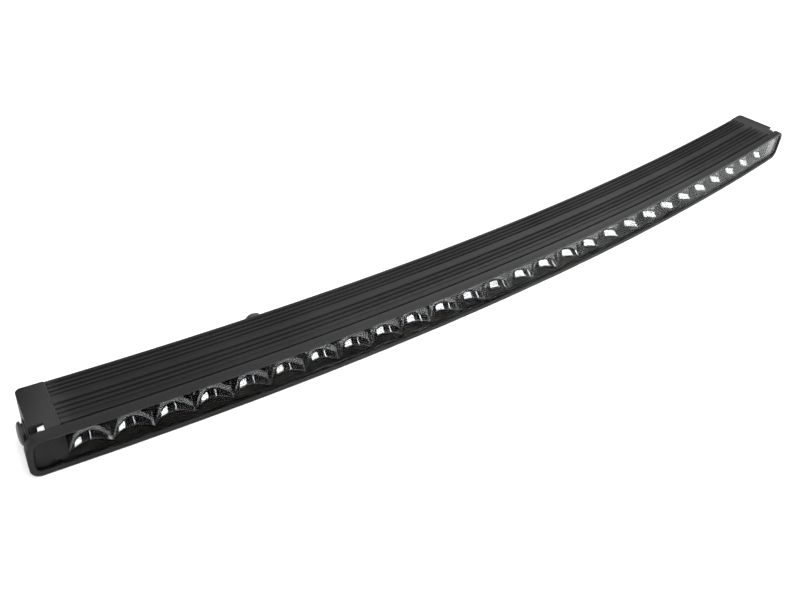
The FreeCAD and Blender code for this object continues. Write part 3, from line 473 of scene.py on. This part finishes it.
def build_lens():
    """Clear slab in columns, so its rounded ends and gentle curve stay clean."""
    half = RECESS_HALF - LENS_GAP
    low, high = RECESS_WALL + LENS_GAP, HEIGHT - RECESS_WALL - LENS_GAP
    low_round, high_round = (radius - LENS_GAP for radius in RECESS_ROUNDS)
    inner = half - high_round
    ends = [inner + high_round * math.sin(math.radians(a)) for a in spread(0, 90, 12)]
    stops = [-s for s in ends[::-1]] + spread(-inner, inner, LENS_STEPS)[1:-1] + ends
    points = []
    for s in stops:
        past = abs(s) - half
        bottom = low + low_round - math.sqrt(max(low_round ** 2 - max(past + low_round, 0) ** 2,
                                                 0))
        top = high - high_round + math.sqrt(max(high_round ** 2
                                                - max(past + high_round, 0) ** 2, 0))
        heights = spread(bottom, top, LENS_ROWS)
        points += [on_bar(s, LENS_FRONT, z) for z in heights]
        points += [on_bar(s, LENS_BACK, z) for z in heights[::-1]]
    count = 2 * (LENS_ROWS + 1)
    faces = ring_faces(len(stops), count, False)
    faces += [tuple(range(count)), tuple(range((len(stops) - 1) * count, len(stops) * count))]
    make_piece("lens_cover", [(points, faces)], LENS, "bar", ["lens"], sharp=40)


# ---- reflectors and lamps ---------------------------------------------------------------------
CUP_AXIS = 16.7
CUP_VERTEX = 19.3
CUP_FOCUS = 7.5
CUP_FLOOR = 4.4
CUP_CEILING = 28.0
STRIP_FRONT = 3.4
STRIP_BACK = 19.8
STRIP_LOW = 3.5
STRIP_HIGH = 28.9
LED_HOLE = 5.0
FOOT_ROUND = 0.9
LIP_EDGE = 0.25
LIP_SHARE = 0.28  # of a shelf's thickness, where its front edge is cut back
CUP_EDGE = 0.3
CUP_RINGS = 12
CELL_STEPS = 20
CELL_RISE = 16


def lip_height(inner, outer):
    return inner + (outer - inner) * LIP_SHARE


def cup_depth(x, z):
    return CUP_VERTEX - (x * x + (z - CUP_AXIS) ** 2) / (4 * CUP_FOCUS)


def cell_frame_points(low, high):
    """Points round a cell's rectangle, starting at its lower left corner."""
    half = PITCH / 2
    points = [(x, low) for x in spread(-half, half, CELL_STEPS)[:-1]]
    points += [(half, z) for z in spread(low, high, CELL_RISE)[:-1]]
    points += [(x, high) for x in spread(half, -half, CELL_STEPS)[:-1]]
    points += [(-half, z) for z in spread(high, low, CELL_RISE)[:-1]]
    return points


def cup_foot(x):
    """(depth, height) of the tight round where a cup meets the tray floor."""
    top, corner = cup_depth(x, CUP_FLOOR + FOOT_ROUND), cup_depth(x, CUP_FLOOR)
    ends = [Vector((top, CUP_FLOOR + FOOT_ROUND)), Vector((corner, CUP_FLOOR)),
            Vector((corner - FOOT_ROUND, CUP_FLOOR))]
    curve = []
    for t in spread(0, 1, 5):
        curve.append(ends[0] * (1 - t) ** 2 + ends[1] * 2 * t * (1 - t) + ends[2] * t * t)
    return curve


def grid_faces(rows, columns):
    """Quads over a grid of points stored row by row."""
    return [(r * columns + c, r * columns + c + 1, (r + 1) * columns + c + 1,
             (r + 1) * columns + c) for r in range(rows - 1) for c in range(columns - 1)]


def reflector_cup(centre):
    """Mirrored paraboloid with a hole for the lamp, down to the tray floor."""
    opening = cell_frame_points(CUP_FLOOR + FOOT_ROUND, CUP_CEILING)
    points = []
    for ring in range(CUP_RINGS + 1):
        for x, z in opening:
            start = LED_HOLE / math.hypot(x, z - CUP_AXIS)
            share = start + (1 - start) * ring / CUP_RINGS
            u, v = x * share, CUP_AXIS + (z - CUP_AXIS) * share
            points.append(on_bar(centre + u, cup_depth(u, v), v))
    bowl = (points, ring_faces(CUP_RINGS + 1, len(opening), False))
    stops = spread(-PITCH / 2, PITCH / 2, CELL_STEPS)
    foot = [on_bar(centre + x, d, z) for x in stops for d, z in cup_foot(x)]
    return [bowl, (foot, grid_faces(len(stops), 6))]


def tray_cell(centre):
    """Black floor, ceiling, front lips and hollow back of one cell of the strip."""
    backing = cell_frame_points(STRIP_LOW, STRIP_HIGH)
    rims = []
    for depth in (cup_depth(LED_HOLE, CUP_AXIS), STRIP_BACK):
        for x, z in backing:
            reach = LED_HOLE / math.hypot(x, z - CUP_AXIS)
            rims.append(on_bar(centre + x * reach, depth, CUP_AXIS + (z - CUP_AXIS) * reach))
    rims += [on_bar(centre + x, STRIP_BACK, z) for x, z in backing]
    parts = [(rims, ring_faces(3, len(backing), False))]
    stops = spread(-PITCH / 2, PITCH / 2, CELL_STEPS)
    for inner, outer, gap in ((CUP_FLOOR, STRIP_LOW, FOOT_ROUND), (CUP_CEILING, STRIP_HIGH, 0)):
        shelf = []
        for x in stops:
            for depth, z in ((cup_depth(x, inner) - gap, inner),
                             (STRIP_FRONT + LIP_EDGE, inner),
                             (STRIP_FRONT, lip_height(inner, outer)),
                             (STRIP_FRONT, outer), (STRIP_BACK, outer)):
                shelf.append(on_bar(centre + x, depth, z))
        parts.append((shelf, grid_faces(len(stops), 5)))
    return parts


def strip_end(s):
    """Flat end of a strip, shaped to the cup, the shelves and the back."""
    wall = [on_bar(s, STRIP_BACK, STRIP_LOW), on_bar(s, STRIP_FRONT, STRIP_LOW),
            on_bar(s, STRIP_FRONT, lip_height(CUP_FLOOR, STRIP_LOW)),
            on_bar(s, STRIP_FRONT + LIP_EDGE, CUP_FLOOR)]
    wall += [on_bar(s, d, z) for d, z in cup_foot(PITCH / 2)[::-1]]
    heights = spread(CUP_FLOOR + FOOT_ROUND, CUP_CEILING, CELL_RISE)
    wall += [on_bar(s, cup_depth(PITCH / 2, z), z) for z in heights[1:]]
    wall += [on_bar(s, STRIP_FRONT + LIP_EDGE, CUP_CEILING),
             on_bar(s, STRIP_FRONT, lip_height(CUP_CEILING, STRIP_HIGH)),
             on_bar(s, STRIP_FRONT, STRIP_HIGH), on_bar(s, STRIP_BACK, STRIP_HIGH)]
    wall += [on_bar(s, STRIP_BACK, z) for z in spread(STRIP_HIGH, STRIP_LOW, CELL_RISE)[1:-1]]
    return wall, [tuple(range(len(wall)))]


def cell_places():
    """Distance of every lamp along the bar, from left to right."""
    cells = STRIPS * CELLS_PER_STRIP
    return [(i - cells // 2) * PITCH for i in range(cells)]


def build_reflectors():
    places = cell_places()
    for strip in range(STRIPS):
        cups, tray = [], []
        own = places[strip * CELLS_PER_STRIP:(strip + 1) * CELLS_PER_STRIP]
        for centre in own:
            cups += reflector_cup(centre)
            tray += tray_cell(centre)
        tray += [strip_end(own[0] - PITCH / 2), strip_end(own[-1] + PITCH / 2)]
        node = f"reflector_{strip + 1}"
        mirrors = make_piece(f"reflector_cups_{strip + 1}", cups, CHROME,
                             "bar", [node])
        soften(mirrors, CUP_EDGE * MM, angle=30, segments=3)
        make_piece(f"reflector_tray_{strip + 1}", tray, GLOSS_BLACK, "bar",
                   [node])


def soften(piece, width, angle, segments):
    """Small rounds on the piece's sharp edges."""
    bevel = piece.modifiers.new("edge_rounds", "BEVEL")
    bevel.width = width
    bevel.segments = segments
    bevel.limit_method = "ANGLE"
    bevel.angle_limit = math.radians(angle)
    bevel.use_clamp_overlap = True
    bevel.harden_normals = True


# ---- screws, bolts and washers ----------------------------------------------------------------
def turned(frame_at, profile, closed=False, around=AROUND):
    """Surface of (radius, height) rings about Z; a radius may be a function of the angle."""
    points = []
    for radius, height in profile:
        for i in range(around):
            a = 2 * math.pi * i / around
            r = radius(a) if callable(radius) else radius
            points.append(frame_at @ (Vector((r * math.cos(a), r * math.sin(a), height)) * MM))
    return points, ring_faces(len(profile), around, closed)


def hexagon(across, cut=None):
    """Radius of a hexagon at an angle, with its corners turned down to a radius if given."""
    def radius(a):
        reach = across / 2 / math.cos(a % (math.pi / 3) - math.pi / 6)
        return min(reach, cut) if cut else reach
    return radius


def thread(outer, depth, pitch, first, last):
    """Rings of a right-hand vee thread between two heights."""
    def at(height):
        def radius(a):
            phase = (height / pitch - a / (2 * math.pi)) % 1
            lead_in = min((height - first) / pitch, 1)
            return outer - depth * (1 - lead_in * (1 - abs(2 * phase - 1)))
        return radius
    steps = round((last - first) / pitch * 8)
    return [(at(height), height) for height in spread(first, last, steps)]


def arc(centre, radius, first, last, steps=6):
    """Profile points along an arc, angles in degrees."""
    return [(centre[0] + radius * math.cos(math.radians(a)),
             centre[1] + radius * math.sin(math.radians(a))) for a in spread(first, last, steps)]


def rim(inner, outer, low, high, edge):
    """Closed ring section with its four edges rounded."""
    section = []
    for x, z, start in ((outer, low, -90), (outer, high, 0), (inner, high, 90), (inner, low, 180)):
        centre = (x - edge if x == outer else x + edge, z + edge if z == low else z - edge)
        section += arc(centre, edge, start, start + 90, 3)
    return section


def both_sides():
    for side, sign in (("right", 1), ("left", -1)):
        def out(offset, depth, height, sign=sign):
            return station(sign * CAP_START, sign * offset, depth, height,
                           "out" if sign == 1 else "in")
        yield side, out


SOCKET_LEAD = 0.5
SOCKET_POINT = 0.3


def socket(width, top, depth):
    """Hexagon socket from its chamfered mouth to the drill point."""
    return [(hexagon(width + SOCKET_LEAD), top), (hexagon(width), top - SOCKET_LEAD / 2),
            (hexagon(width), top - depth), (width * 0.3, top - depth),
            (0, top - depth - SOCKET_POINT)]


# M8 bracket bolt on its washers, heights measured out from the side face of the cap.
BOLT_DEPTH = 28.0
BOLT_HEIGHT = 16.2
BOLT_PITCH = 1.25
BOLT_CREST = 3.95
BOLT_THREAD_DEPTH = 0.72
BOLT_TIP_RADIUS = 3.0
BOLT_REACH = 12
BOLT_SOCKET = 5
BOLT_SOCKET_DEPTH = 2.2
FLANGE_RADIUS = 8.3
FLANGE_ROUND = 0.3
HEAD_HEIGHT = 3.4
DOME_RADIUS = 9.3
DOME_FLAT = 3.4
WASHER_BORE = 4.25
WASHER_RADIUS = 9.3
WASHER_THICKNESS = 1.1
SPRING_RADIUS = 6.9
SPRING_THICKNESS = 1.3
SPRING_GAP = 0.8
BOLT_SEAT = WASHER_THICKNESS + SPRING_THICKNESS


def bolt_profile():
    """Rings from the tip of the shank, over the flange and the domed head, to the socket."""
    top = BOLT_SEAT + HEAD_HEIGHT
    profile = [(0, -BOLT_REACH), (BOLT_TIP_RADIUS, -BOLT_REACH)]
    profile += thread(BOLT_CREST, BOLT_THREAD_DEPTH, BOLT_PITCH, 0.1 - BOLT_REACH,
                      BOLT_SEAT - 0.1)
    profile += [(BOLT_CREST, BOLT_SEAT), (FLANGE_RADIUS, BOLT_SEAT)]
    profile += arc((FLANGE_RADIUS, BOLT_SEAT + FLANGE_ROUND), FLANGE_ROUND, -90, 0, 4)
    profile += arc((FLANGE_RADIUS, BOLT_SEAT + 2.5 * FLANGE_ROUND), FLANGE_ROUND, 0, 50, 3)
    profile += arc((DOME_FLAT, top - DOME_RADIUS), DOME_RADIUS, 59, 84, 8)
    return profile + [(DOME_FLAT, top)] + socket(BOLT_SOCKET, top, BOLT_SOCKET_DEPTH)


def spring_washer(place):
    """Flat ring, split where the spring washer is cut."""
    section = rim(WASHER_BORE, SPRING_RADIUS, WASHER_THICKNESS, BOLT_SEAT, 0.12)
    middle = (WASHER_BORE + SPRING_RADIUS) / 2
    gap = SPRING_GAP / middle / 2
    turns = spread(gap, 2 * math.pi - gap, AROUND)
    points = [place @ (Vector((r * math.cos(a), r * math.sin(a), z)) * MM)
              for a in turns for r, z in section]
    count = len(section)
    faces = ring_faces(len(turns), count, False)
    faces += [tuple(range(count)), tuple(range(AROUND * count, (AROUND + 1) * count))]
    return points, faces


def build_bracket_bolts():
    for side, out in both_sides():
        place = out(CAP_LENGTH, BOLT_DEPTH, BOLT_HEIGHT)
        make_piece(f"{side}_bolt", [turned(place, bolt_profile())], BLACK_STEEL,
                   f"{side}_bolt", [f"{side}_bracket_bolt"])
        flat = turned(place, rim(WASHER_BORE, WASHER_RADIUS, 0, WASHER_THICKNESS, 0.2), True)
        make_piece(f"{side}_washer_stack", [flat, spring_washer(place)], BLACK_STEEL,
                   f"{side}_washers", [f"{side}_bolt_washers"])


SCREW_SHANK = 1.5
SCREW_TIP = 1.2
SCREW_SOCKET = 2.5
SCREW_SOCKET_DEPTH = 1.6
SCREW_BITE = 13.5  # how far past the cap a shank runs into the housing
HEAD_EDGE = 0.5
KNURL_CUT = 0.07
SUNK_SEAT = CAP_LENGTH - 3
NOTCH_SEAT = 9.4


def cap_screw(place, radius, length, reach, flutes):
    """Socket head screw with a knurled or plain head."""
    around = 2 * AROUND

    def knurled(a):
        return radius - (KNURL_CUT if flutes and round(a / (2 * math.pi) * around) % 2 else 0)
    profile = [(0, -reach), (SCREW_TIP, -reach), (SCREW_SHANK, 0.3 - reach), (SCREW_SHANK, 0),
               (radius - 0.2, 0), (knurled, 0.2), (knurled, length - 0.6)]
    profile += arc((radius - HEAD_EDGE, length - HEAD_EDGE), HEAD_EDGE, 15, 90, 5)
    profile += socket(SCREW_SOCKET, length, SCREW_SOCKET_DEPTH)
    return turned(place, profile, around=around)


def build_cap_screws():
    """One knurled screw in the notch and three plain heads sunk in the side face."""
    notch_head, sunk_head = (3.0, 4.6, True), (3.2, 2.4, False)
    spots = [(NOTCH_SEAT, 10.7, 30.9, notch_head), (SUNK_SEAT, 46.6, 27.6, sunk_head),
             (SUNK_SEAT, 46.6, 6.4, sunk_head), (SUNK_SEAT, 24.25, 7.2, sunk_head)]
    for side, out in both_sides():
        screws = [cap_screw(out(seat, depth, height), radius, length, seat + SCREW_BITE, flutes)
                  for seat, depth, height, (radius, length, flutes) in spots]
        make_piece(f"{side}_socket_screws", screws, ZINC, "bar",
                   [f"{side}_cap_screws"])


# ---- back fittings ----------------------------------------------------------------------------
# Heights in the profiles are measured out from the back face of the housing.
BACK_HEIGHT = 17.0
BACK_GAP = 0.02
WALL_INSIDE = CHAMBER_BACK - DEPTH
GLAND_PLACE = -240
GLAND_BORE = 4.4
GLAND_WALL_RADIUS = 5.9
GLAND_FLANGE = 7.4
GLAND_FLANGE_TOP = 3
GLAND_THREAD = 6.2
GLAND_TOP = 11
NUT_FOOT = 4.5
NUT_HEX = 8
NUT_ACROSS = 15
NUT_BORE = 3.6
CORD_RADIUS = 3.25
SEAL_GROOVES = (9.0, 7.5, 6.0, 4.5)
VENT_PLACE = 240
VENT_STEM = 2.9
VENT_FLANGE = 6.5
VENT_FLANGE_TOP = 2.2
VENT_CAP_RADIUS = 5.4
VENT_SLOT_CUT = 0.6


def build_gland():
    place = station(GLAND_PLACE, 0, DEPTH + BACK_GAP, BACK_HEIGHT, "back")
    body = [(GLAND_BORE, WALL_INSIDE), (GLAND_WALL_RADIUS - 0.4, WALL_INSIDE),
            (GLAND_WALL_RADIUS, WALL_INSIDE + 0.4), (GLAND_WALL_RADIUS, 0), (GLAND_FLANGE, 0)]
    body += arc((GLAND_FLANGE - 0.3, GLAND_FLANGE_TOP - 0.5), 0.5, 0, 90, 4)
    body += [(GLAND_THREAD, GLAND_FLANGE_TOP)]
    body += thread(GLAND_THREAD, 0.5, 1.5, GLAND_FLANGE_TOP + 0.05, GLAND_TOP - 0.2)
    body += [(GLAND_THREAD - 0.6, GLAND_TOP), (GLAND_BORE, GLAND_TOP)]
    make_piece("cable_gland_body", [turned(place, body, True)], NYLON, "bar",
               ["gland_body"])
    shoulder, trimmed = hexagon(NUT_ACROSS, 8.2), hexagon(NUT_ACROSS, 7.55)
    rise = NUT_FOOT + NUT_HEX
    nut = [(GLAND_THREAD, NUT_FOOT), (7.0, NUT_FOOT), (trimmed, NUT_FOOT + 0.15),
           (shoulder, NUT_FOOT + 0.8), (shoulder, rise - 0.8), (trimmed, rise - 0.1),
           (7.2, rise)]
    nut += arc((4.9, rise - 0.1), 2.1, 10, 90, 6)
    nut += [(NUT_BORE + 0.3, rise + 2), (NUT_BORE, rise + 1.7), (NUT_BORE, GLAND_TOP),
            (GLAND_THREAD, GLAND_TOP)]
    make_piece("cable_gland_nut", [turned(place, nut, True)], NYLON, "bar",
               ["gland_nut"])
    seal = [(CORD_RADIUS, 2.0), (GLAND_BORE, 2.0), (GLAND_BORE, GLAND_TOP)]
    seal += arc((CORD_RADIUS + 0.45, GLAND_TOP - 0.45), 0.45, 90, 180, 4)
    for groove in SEAL_GROOVES:
        seal += [(CORD_RADIUS, groove + 0.5), (CORD_RADIUS + 0.25, groove),
                 (CORD_RADIUS, groove - 0.5)]
    make_piece("cable_gland_seal", [turned(place, seal, True)], RUBBER, "bar",
               ["gland_seal"])


def build_breather():
    place = station(VENT_PLACE, 0, DEPTH + BACK_GAP, BACK_HEIGHT, "back")
    body = [(0, WALL_INSIDE), (VENT_STEM - 0.3, WALL_INSIDE), (VENT_STEM, WALL_INSIDE + 0.3),
            (VENT_STEM, 0), (VENT_FLANGE - 0.2, 0), (VENT_FLANGE, 0.2)]
    body += arc((VENT_FLANGE - 0.5, VENT_FLANGE_TOP - 0.5), 0.5, 0, 90, 4)
    body += [(0, VENT_FLANGE_TOP)]
    make_piece("vent_body", [turned(place, body)], NYLON, "bar", ["breather_body"])

    def slotted(a):
        in_slot = round(a / (2 * math.pi) * AROUND) % 8 in (0, 1)
        return VENT_CAP_RADIUS - (VENT_SLOT_CUT if in_slot else 0)
    cap = [(0, VENT_FLANGE_TOP), (4.6, VENT_FLANGE_TOP), (slotted, VENT_FLANGE_TOP),
           (slotted, 3.5)]
    cap += arc((4.2, 3.6), 0.6, 30, 90, 4) + [(2.4, 4.2), (2.2, 4.0), (0, 4.0)]
    make_piece("vent_cap", [turned(place, cap)], NYLON, "bar", ["breather_cap"])


# ---- lamps ------------------------------------------------------------------------------------
# Heights in the profiles are measured forwards from the board.
BOARD_FACE = 19.9
LAMP_BASE = 2.5
LAMP_BASE_HEIGHT = 0.8
PHOSPHOR_HALF = 0.9
PHOSPHOR_TOP = 0.92
DOME_FOOT = 0.82
LAMP_DOME = 2.08


def build_lamps():
    def square(half, cut):
        """Radius of a square at an angle, with its corners turned down to a radius."""
        return lambda a: min(half / max(abs(math.cos(a)), abs(math.sin(a))), cut)
    bases, plates, domes = [], [], []
    base, rim_edge = square(LAMP_BASE, 3.3), square(LAMP_BASE - 0.1, 3.2)
    plate = square(PHOSPHOR_HALF, 1.15)
    for distance in cell_places():
        place = station(distance, 0, BOARD_FACE, CUP_AXIS, "front")
        bases.append(turned(place, [(0, 0), (base, 0), (base, LAMP_BASE_HEIGHT - 0.1),
                                    (rim_edge, LAMP_BASE_HEIGHT), (0, LAMP_BASE_HEIGHT)]))
        plates.append(turned(place, [(0, LAMP_BASE_HEIGHT), (plate, LAMP_BASE_HEIGHT),
                                     (plate, PHOSPHOR_TOP), (0, PHOSPHOR_TOP)]))
        dome = [(0, DOME_FOOT)] + arc((0, DOME_FOOT), LAMP_DOME, 0, 90, 8)
        domes.append(turned(place, dome, around=32))
    make_piece("lamp_bases", bases, CERAMIC, "bar", ["led_emitters"])
    make_piece("lamp_phosphor", plates, PHOSPHOR, "bar", ["led_domes"])
    make_piece("lamp_domes", domes, SILICONE, "bar", ["led_domes"])


# ---- floor, lights and camera, in metres ------------------------------------------------------
FLOOR_SIZE = 14.0
FLOOR_GAP = 0.0005
GLOW_START = 0.9  # from here to the far radius the floor fades into the white backdrop
GLOW_FULL = 3.2
WORLD_LEVEL = 0.04
# Name, place, aim, size and power in watts. The two front strips and the front card make the
# glints in the cups, rear_strip lights the ridges and left_card the end of the bezel.
LIGHTS = [
    ("overhead_softbox", (0.1, 0.1, 2.2), (0.1, 0.1, 0), (4.4, 4.4), 150),
    ("high_front_strip", (-0.1, -0.5, 1.4), (0, 0, 0), (1.2, 0.06), 4.5),
    ("low_front_card", (0.2, -0.6, 0.29), (0.3, 0, 0.017), (0.6, 0.4), 13),
    ("tall_front_strip", (-0.75, -1.3, 0.6), (-0.2, 0, 0.017), (0.07, 1.0), 4.5),
    ("rear_strip", (1.0, 0.85, 0.95), (0.05, 0, 0.03), (0.9, 0.3), 12),
    ("left_card", (-1.6, -0.2, 0.4), (-0.43, 0, 0.017), (0.6, 0.8), 8),
]
CAMERA_PLACE = (-0.50735, -0.43302, 0.47497)
CAMERA_AIM = (-0.11656, 0.03545, 0.017)
CAMERA_ROLL = 4.93
CAMERA_LENS = 40.09
CAMERA_SHIFT = (0.0291, -0.0285)


def build_stage():
    mesh = bpy.data.meshes.new("floor")
    size, low = FLOOR_SIZE, CAD_LOW.z - FLOOR_GAP
    mesh.from_pydata([(-size, -size, low), (size, -size, low), (size, size, low),
                      (-size, size, low)], [], [(0, 1, 2, 3)])
    material, nodes, links, shader = new_material("pale_floor")
    place = nodes.new("ShaderNodeTexCoord").outputs["Object"]
    cloud = noise(nodes, links, place, 3.0)
    links.new(ramp(nodes, links, cloud, [(0.3, 0.84), (0.7, 0.87)]), shader.inputs["Base Color"])
    shader.inputs["Roughness"].default_value = 0.9
    span = nodes.new("ShaderNodeVectorMath")
    span.operation = "LENGTH"
    links.new(place, span.inputs[0])
    far = nodes.new("ShaderNodeMapRange")
    far.inputs["From Min"].default_value = GLOW_START
    far.inputs["From Max"].default_value = GLOW_FULL
    links.new(span.outputs["Value"], far.inputs["Value"])
    shader.inputs["Emission Color"].default_value = (1, 1, 1, 1)
    links.new(far.outputs["Result"], shader.inputs["Emission Strength"])
    mesh.materials.append(material)
    floor = bpy.data.objects.new("floor", mesh)
    bpy.context.collection.objects.link(floor)


def area_light(name, position, target, size, power):
    data = bpy.data.lights.new(name, "AREA")
    data.shape = "RECTANGLE"
    data.size, data.size_y = size
    data.energy = power
    lamp = bpy.data.objects.new(name, data)
    lamp.location = position
    lamp.rotation_euler = (Vector(target) - Vector(position)).to_track_quat("-Z", "Y").to_euler()
    bpy.context.collection.objects.link(lamp)


def build_lights():
    for settings in LIGHTS:
        area_light(*settings)


def build_world():
    """World that is white to the camera and nearly dark to everything else."""
    world = bpy.data.worlds.new("studio")
    world.use_nodes = True
    nodes, links = world.node_tree.nodes, world.node_tree.links
    dim = nodes["Background"]
    dim.inputs["Color"].default_value = (1, 1, 1, 1)
    dim.inputs["Strength"].default_value = WORLD_LEVEL
    backdrop = nodes.new("ShaderNodeBackground")
    backdrop.inputs["Color"].default_value = (1, 1, 1, 1)
    chosen = nodes.new("ShaderNodeMixShader")
    links.new(nodes.new("ShaderNodeLightPath").outputs["Is Camera Ray"], chosen.inputs["Fac"])
    links.new(dim.outputs["Background"], chosen.inputs[1])
    links.new(backdrop.outputs["Background"], chosen.inputs[2])
    links.new(chosen.outputs["Shader"], nodes["World Output"].inputs["Surface"])
    bpy.context.scene.world = world
    bpy.context.scene.view_settings.view_transform = "Standard"


def build_camera():
    position, target = Vector(CAMERA_PLACE), Vector(CAMERA_AIM)
    roll = math.radians(CAMERA_ROLL)
    data = bpy.data.cameras.new("camera")
    data.sensor_width = 36
    data.lens = CAMERA_LENS
    data.shift_x, data.shift_y = CAMERA_SHIFT
    data.clip_start, data.clip_end = 0.01, 50
    camera = bpy.data.objects.new("camera", data)
    aim = (target - position).to_track_quat("-Z", "Y").to_matrix().to_4x4()
    camera.matrix_world = Matrix.Translation(position) @ aim @ Matrix.Rotation(roll, 4, "Z")
    bpy.context.collection.objects.link(camera)
    bpy.context.scene.camera = camera


# Finish of each CAD node, by how its name starts without its side. The longest match is used.
CAD_FINISH = {
    "end_cap": POWDER, "cap_gasket": RUBBER, "cap_screws": ZINC, "bolt_insert": BRASS,
    "bolt_washers": BLACK_STEEL, "bracket_bolt": BLACK_STEEL, "end_shield": GLOSS_BLACK,
    "lens_seal": RUBBER, "led_board": MASK, "thermal_pad": GAP_PAD, "led_emitters": CERAMIC,
    "led_domes": PHOSPHOR, "driver_board": FR4, "driver_capacitors": SLEEVE,
    "driver_choke": FERRITE, "driver_chips": EPOXY, "driver_spacers": NYLON,
    "gland_body": NYLON, "gland_seal": RUBBER, "gland_nut": NYLON, "breather": NYLON,
    "reflector": CHROME, "housing": POWDER, "front_bezel": POWDER, "lens": LENS,
}


def finish_cad_nodes():
    for name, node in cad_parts.items():
        plain = name.replace("left_", "").replace("right_", "")
        matches = [key for key in CAD_FINISH if plain.startswith(key)]
        key = max(matches, key=len)
        node.data.materials.clear()
        node.data.materials.append(CAD_FINISH[key])


build_camera()
finish_cad_nodes()
build_housing()
build_bezel()
build_lens()
build_reflectors()
build_lamps()
build_cap_screws()
build_bracket_bolts()
build_gland()
build_breather()
build_stage()
build_lights()
build_world()
